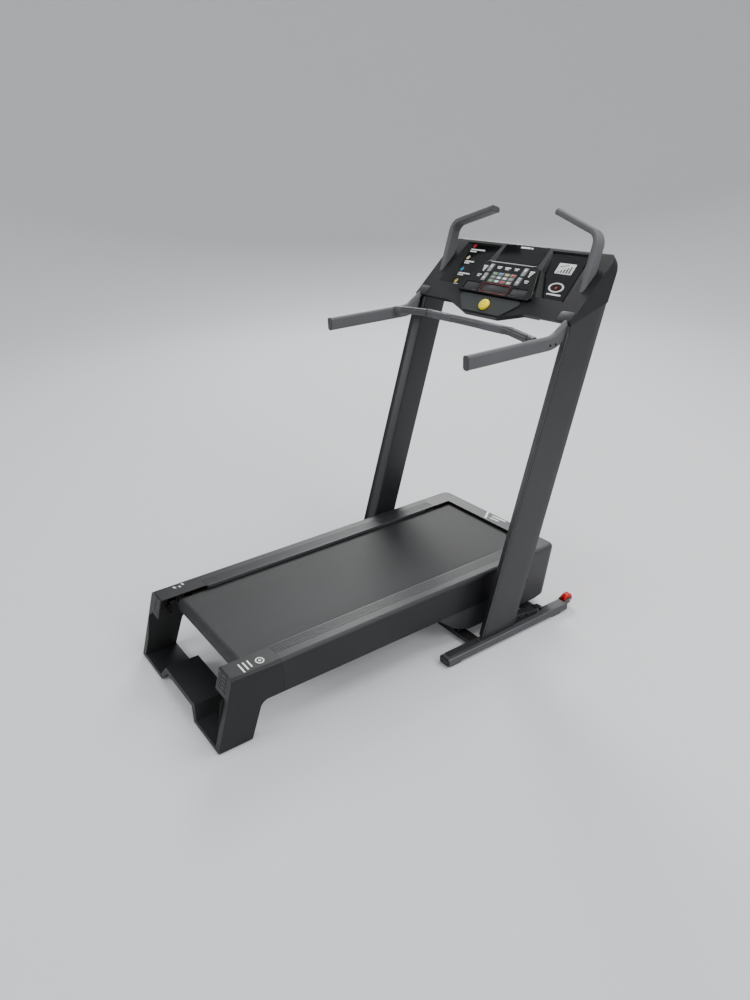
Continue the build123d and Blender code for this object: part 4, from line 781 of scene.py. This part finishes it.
def pulseRib(outward, upward, tall, wide):
    # a raised rib that follows the bar's bends: half of it is made straight, spun through the bend and
    # carried on to the handrail, then mirrored
    middle = pulseRibs["middle"] - outward
    level = pulseRibs["height"] + upward
    clearHands()
    bpy.ops.mesh.primitive_plane_add(size=1, location=(0, middle, level), rotation=(0, math.pi / 2, 0))
    bpy.context.object.scale = (tall, wide, 1)
    bpy.ops.object.transform_apply(location=True, rotation=True, scale=True)
    pick("VERT", lambda point: True)
    bpy.ops.mesh.bevel(offset=0.0012, segments=3, affect="VERTICES")
    bpy.ops.mesh.select_all(action="SELECT")
    push((pulseRibs["bendStart"], 0, 0))
    centre = (pulseRibs["bendStart"], pulseRibs["middle"] - pulseRibs["bend"], level)
    bpy.ops.mesh.spin(steps=8, angle=pulseRibs["turn"], center=centre, axis=(0, 0, -1))
    run, turn = pulseRibs["run"], pulseRibs["turn"]
    push((run * math.cos(turn), -run * math.sin(turn), 0))
    bpy.ops.object.mode_set(mode="OBJECT")
    half = bpy.context.object
    whole = unite([half, twin(half, mirror=True)])
    pick("VERT", lambda point: True)
    bpy.ops.mesh.remove_doubles(threshold=0.0001)
    bpy.ops.mesh.normals_make_consistent(inside=False)
    bpy.ops.object.mode_set(mode="OBJECT")
    bpy.ops.object.shade_smooth_by_angle(angle=math.radians(40))
    return whole


dress([pulseRib(*row) for row in pulseRibs["rows"]], "pulseBarRibs", "grip", "base")
print("base and pulse bar detailed")

hoodTop = surface((0, 0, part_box("motor_hood")[1][2]), ground["look"])
makeBars("hoodMark", "white", hoodTop, [
    (-0.036, 0.764, 0.084, 0.011, 2.2), (0.040, 0.774, 0.090, 0.0095, 0.08),
    (0.032, 0.751, 0.056, 0.0075, 0.08)], "deck")

# marks on the rear caps: three stripes and a ring on the right, flecks on the left
rampRing = {"centre": (0.349, -0.731), "radius": 0.020, "band": 0.005, "squash": 0.85, "dot": 0.0055}
deckTop = surface((0, 0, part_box("rear_cap_right")[1][2]), ground["look"])
makeBars("rampMark", "white", deckTop, [
    (0.352 - 0.004 * step, -0.808 + 0.0185 * step, 0.058 - 0.006 * step, 0.0060)
    for step in range(3)], "deck")
hoop(rampRing["radius"], rampRing["band"], ink["height"], rampRing["squash"])
ringRight = stand(deckTop, *rampRing["centre"])
puck(rampRing["dot"], ink["height"], ink["rim"])
dress([ringRight, stand(deckTop, *rampRing["centre"])], "rampRing", "white", "deck")
makeBars("leftCapMark", "white", deckTop, [
    (-0.362, -0.782, 0.018, 0.008, 0.4), (-0.356, -0.760, 0.012, 0.008, 0.4),
    (-0.368, -0.742, 0.016, 0.007, 0.4)], "deck")

railLipPaintedLight = {"gap": 0.0035, "thick": 0.0025, "low": 0.2845, "high": 0.2984, "rear": -0.655, "front": 0.560,
           "round": 0.0018, "endRound": 0.0008}


def makeRailLips():
    # rounded inner lip of each foot rail, beside the belt, in a pale grey that paints the light on the rail's
    # inner wall
    length = railLipPaintedLight["front"] - railLipPaintedLight["rear"]
    height = railLipPaintedLight["high"] - railLipPaintedLight["low"]
    block((railLipPaintedLight["thick"], length, height), (0, 0, height / 2))
    pick("EDGE", lambda centre, along: abs(along.y) > 0.9 and centre.z > height * 0.9 and centre.x < 0)
    bpy.ops.mesh.bevel(offset=railLipPaintedLight["round"], segments=4, affect="EDGES")
    pick("EDGE", lambda centre, along: abs(centre.y) > length * 0.49 and abs(along.x) > 0.2)
    bpy.ops.mesh.bevel(offset=railLipPaintedLight["endRound"], segments=2, affect="EDGES")
    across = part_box("walking_belt")[1][0] + railLipPaintedLight["gap"] + railLipPaintedLight["thick"] / 2
    right = stand(ground, across, (railLipPaintedLight["rear"] + railLipPaintedLight["front"]) / 2, railLipPaintedLight["low"])
    dressPair(right, "railLipPaintedLight", "lip", "deck")


makeRailLips()


softened = {"round": 0.006, "sharp": math.radians(40), "standLevel": 0.19, "topLevel": 0.29, "topRear": -0.85}


def soften(nodeName, name, finishName, test):
    # a copy of a deck node whose sharp edges are rounded where they pass the test, as a moulded part's are
    clearHands()
    piece = nodes[nodeName].copy()
    piece.data = nodes[nodeName].data.copy()
    bpy.context.scene.collection.objects.link(piece)
    bpy.context.view_layer.objects.active = piece
    pick("VERT", lambda point: True)
    bpy.ops.mesh.remove_doubles(threshold=0.00005)
    bpy.ops.mesh.select_all(action="SELECT")
    bpy.ops.mesh.dissolve_limited(angle_limit=math.radians(1.0))
    bpy.ops.mesh.select_all(action="DESELECT")
    bpy.context.tool_settings.mesh_select_mode = (False, True, False)
    bpy.ops.mesh.edges_select_sharp(sharpness=softened["sharp"])
    bpy.ops.object.mode_set(mode="OBJECT")
    sharp = {edge.index for edge in piece.data.edges if edge.select}
    dropSelection(piece.data)
    for edge in piece.data.edges:
        ends = [piece.data.vertices[i].co for i in edge.vertices]
        edge.select = edge.index in sharp and test(*ends)
    bpy.ops.object.mode_set(mode="EDIT")
    bpy.ops.mesh.bevel(offset=softened["round"], segments=3, affect="EDGES", clamp_overlap=True)
    bpy.ops.object.mode_set(mode="OBJECT")
    bpy.ops.object.shade_smooth_by_angle(angle=math.radians(35))
    dress([piece], name, finishName, "deck", nodeName)


def onRearTop(first, second):
    # the edge across the rear end of the deck's top
    return (abs(first.x - second.x) > 0.004 and min(first.z, second.z) > softened["topLevel"]
            and max(first.y, second.y) < softened["topRear"])


def onRearStand(first, second):
    return max(first.z, second.z) < softened["standLevel"] or onRearTop(first, second)


soften("rear_stand", "rearStand", "cover", onRearStand)
soften("rear_cap_right", "rearCapRight", "cover", onRearTop)
soften("rear_cap_left", "rearCapLeft", "cover", onRearTop)

grooveShade = {"first": 0.300, "pitch": 0.011, "count": 5, "width": 0.0028, "height": 0.0006, "floor": 0.2968,
             "rear": -0.662, "front": 0.618}


def makeGrooveShades():
    # dark strips in the grooves of the foot rails: painted shade in the grooves
    length = grooveShade["front"] - grooveShade["rear"]
    strips = []
    for step in range(grooveShade["count"]):
        pad(grooveShade["width"], length, grooveShade["height"], 0.0008, 0.0002)
        strips.append(stand(ground, grooveShade["first"] + step * grooveShade["pitch"],
                            (grooveShade["front"] + grooveShade["rear"]) / 2, grooveShade["floor"]))
    dressPair(unite(strips), "railGrooveShade", "rubberAndShade", "deck")


makeGrooveShades()

rearRibs = {"count": 5, "low": 0.226, "high": 0.282, "left": 0.296, "right": 0.364, "swing": 0.0035,
            "width": 0.0042, "height": 0.003, "pieces": 8, "sunk": 0.0006, "wallFoot": (0, -0.960, 0.005)}
legTilt = math.atan(0.305)  # the rear wall leans forward as it rises


def makeRearRibs():
    # wavy ribs across the rear wall of the caps: a bar cut along its length, its middles swung up and down
    length = rearRibs["right"] - rearRibs["left"]
    block((length, rearRibs["width"], rearRibs["height"]), (0, 0, 0))
    pick("EDGE", lambda centre, along: abs(along.x) > 0.9)
    bpy.ops.mesh.subdivide(number_cuts=rearRibs["pieces"] - 1)
    for index in range(1, rearRibs["pieces"]):
        column = -length / 2 + length * index / rearRibs["pieces"]
        pick("VERT", lambda point: abs(point.x - column) < 0.001)
        swing = rearRibs["swing"] * math.sin(index * math.pi / 2.6)
        bpy.ops.transform.translate(value=(0, swing, 0))
    pick("EDGE", lambda centre, along: abs(along.x) > 0.5 and centre.z > 0)
    bpy.ops.mesh.bevel(offset=0.0012, segments=2, affect="EDGES")
    wall = surface(rearRibs["wallFoot"], Matrix.Rotation(-legTilt, 3, "X") @ rearSide)
    across = (rearRibs["left"] + rearRibs["right"]) / 2
    first = stand(wall, across, rearRibs["low"] / math.cos(legTilt), rearRibs["sunk"])
    step = (rearRibs["high"] - rearRibs["low"]) / (rearRibs["count"] - 1)
    shifts = [step * index for index in range(1, rearRibs["count"])]
    ribs = [first] + [twin(first, (0, shift * math.tan(legTilt), shift)) for shift in shifts]
    dressPair(unite(ribs), "rearRibs", "lip", "deck")


legShadeSheet = {"along": -0.889, "low": 0.020, "foot": 0.118, "forward": 0.058, "rise": 0.188, "widening": 1.35,
            "corner": 0.012, "thick": 0.0015}


def makeLegShadeSheets():
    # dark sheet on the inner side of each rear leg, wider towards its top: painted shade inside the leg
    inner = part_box("rear_cap_right")[1][0]
    clearHands()
    bpy.ops.mesh.primitive_plane_add(size=1, location=(inner, legShadeSheet["along"], legShadeSheet["low"]),
                                     rotation=(0, -math.pi / 2, 0))
    bpy.context.object.scale = (0.002, legShadeSheet["foot"], 1)
    bpy.ops.object.transform_apply(location=True, rotation=True, scale=True)
    pick("EDGE", lambda centre, along: abs(along.y) > 0.5 and centre.z > legShadeSheet["low"])
    bpy.ops.transform.translate(value=(0, legShadeSheet["forward"], legShadeSheet["rise"]))
    bpy.ops.transform.resize(value=(1, legShadeSheet["widening"], 1))
    pick("VERT", lambda point: True)
    bpy.ops.mesh.bevel(offset=legShadeSheet["corner"], segments=4, affect="VERTICES")
    bpy.ops.object.mode_set(mode="OBJECT")
    sheet = bpy.context.object
    bpy.ops.object.modifier_add(type="SOLIDIFY")
    sheet.modifiers[0].thickness = legShadeSheet["thick"]
    sheet.modifiers[0].offset = 1.0
    bpy.ops.object.modifier_apply(modifier=sheet.modifiers[0].name)
    dressPair(sheet, "legShadeSheet", "rubberAndShade", "deck")


makeRearRibs()
makeLegShadeSheets()
print("deck detailed")

cameraPlace = {"position": (2.6099, -1.7033, 2.0515), "aim": (0, 0.046, 0.5), "trim": (-0.027, 0.002, 0.045),
               "lens": 28.16}


def placeCamera():
    # looks at the aim, then turned by the trim, a rotation vector in the camera's own axes
    position = Vector(cameraPlace["position"])
    back = (position - Vector(cameraPlace["aim"])).normalized()
    side = Vector((0, 0, 1)).cross(back).normalized()
    up = back.cross(side)
    look = Matrix((side, up, back))
    turn = Vector(cameraPlace["trim"])
    trimmed = Matrix.Rotation(turn.length, 3, turn.normalized()) @ look
    data = bpy.data.cameras.new("studioCamera")
    data.sensor_width = 36
    data.lens = cameraPlace["lens"]
    camera = bpy.data.objects.new("studioCamera", data)
    bpy.context.scene.collection.objects.link(camera)
    camera.matrix_world = Matrix.Translation(position) @ trimmed.transposed().to_4x4()
    bpy.context.scene.camera = camera


placeCamera()


def areaLight(name, position, aim, size, power):
    data = bpy.data.lights.new(name, "AREA")
    data.shape = "RECTANGLE"
    data.size, data.size_y = size
    data.energy = power
    light = bpy.data.objects.new(name, data)
    bpy.context.scene.collection.objects.link(light)
    light.location = position
    light.visible_camera = False
    light.rotation_euler = (Vector(aim) - Vector(position)).to_track_quat("-Z", "Y").to_euler()


areaLight("skyPanel", (1.4, 2.4, 5.0), (0, 0, 0.5), (3.4, 3.4), 170)
areaLight("sidePanel", (6.2, 1.2, 4.6), (0, 0.1, 0.8), (2.4, 3.6), 230)
areaLight("fillPanel", (-1.0, -7.0, 4.2), (0, 0, 0.6), (4.0, 2.4), 260)
areaLight("rimPanel", (-5.2, 4.0, 5.0), (0, 0.2, 0.8), (2.6, 3.0), 420)

world = bpy.data.worlds.new("studioAir")
world.use_nodes = True
air = world.node_tree.nodes["Background"]
air.inputs["Color"].default_value = toLinear("#e6e8ea")
air.inputs["Strength"].default_value = 0.7
bpy.context.scene.world = world

backdrop = {"radius": 7.0, "curve": 5.0, "steps": 12, "wall": 3.0}


def studioFloor():
    # one seamless sheet: a round floor that curves up to a low wall all round
    clearHands()
    bpy.ops.mesh.primitive_circle_add(vertices=96, radius=backdrop["radius"], fill_type="NGON",
                                      location=(0, 0, -0.0005))
    floor = bpy.context.object
    pick("EDGE", lambda centre, along: True)
    radius = backdrop["radius"]
    for step in range(1, backdrop["steps"] + 1):
        angle = math.pi / 2 * step / backdrop["steps"]
        before = math.pi / 2 * (step - 1) / backdrop["steps"]
        rise = backdrop["curve"] * (math.cos(before) - math.cos(angle))
        wider = backdrop["radius"] + backdrop["curve"] * math.sin(angle)
        push((0, 0, rise))
        bpy.ops.transform.resize(value=(wider / radius, wider / radius, 1.0))
        radius = wider
    push((0, 0, backdrop["wall"]))
    bpy.ops.object.mode_set(mode="OBJECT")
    bpy.ops.object.transform_apply(location=True, rotation=True, scale=True)
    bpy.ops.object.shade_smooth_by_angle(angle=math.radians(60))
    floor.name = "studioFloor"
    # paper, matte and seamless: a faint glow of its own keeps the shadows soft
    material, tree, bsdf = newMaterial("paper_seamlessPale", "#cccdcf", 0.9, Emission_Strength=0.09)
    bsdf.inputs["Emission Color"].default_value = toLinear("#eceef0")
    floor.data.materials.append(material)


studioFloor()
print("studio set")
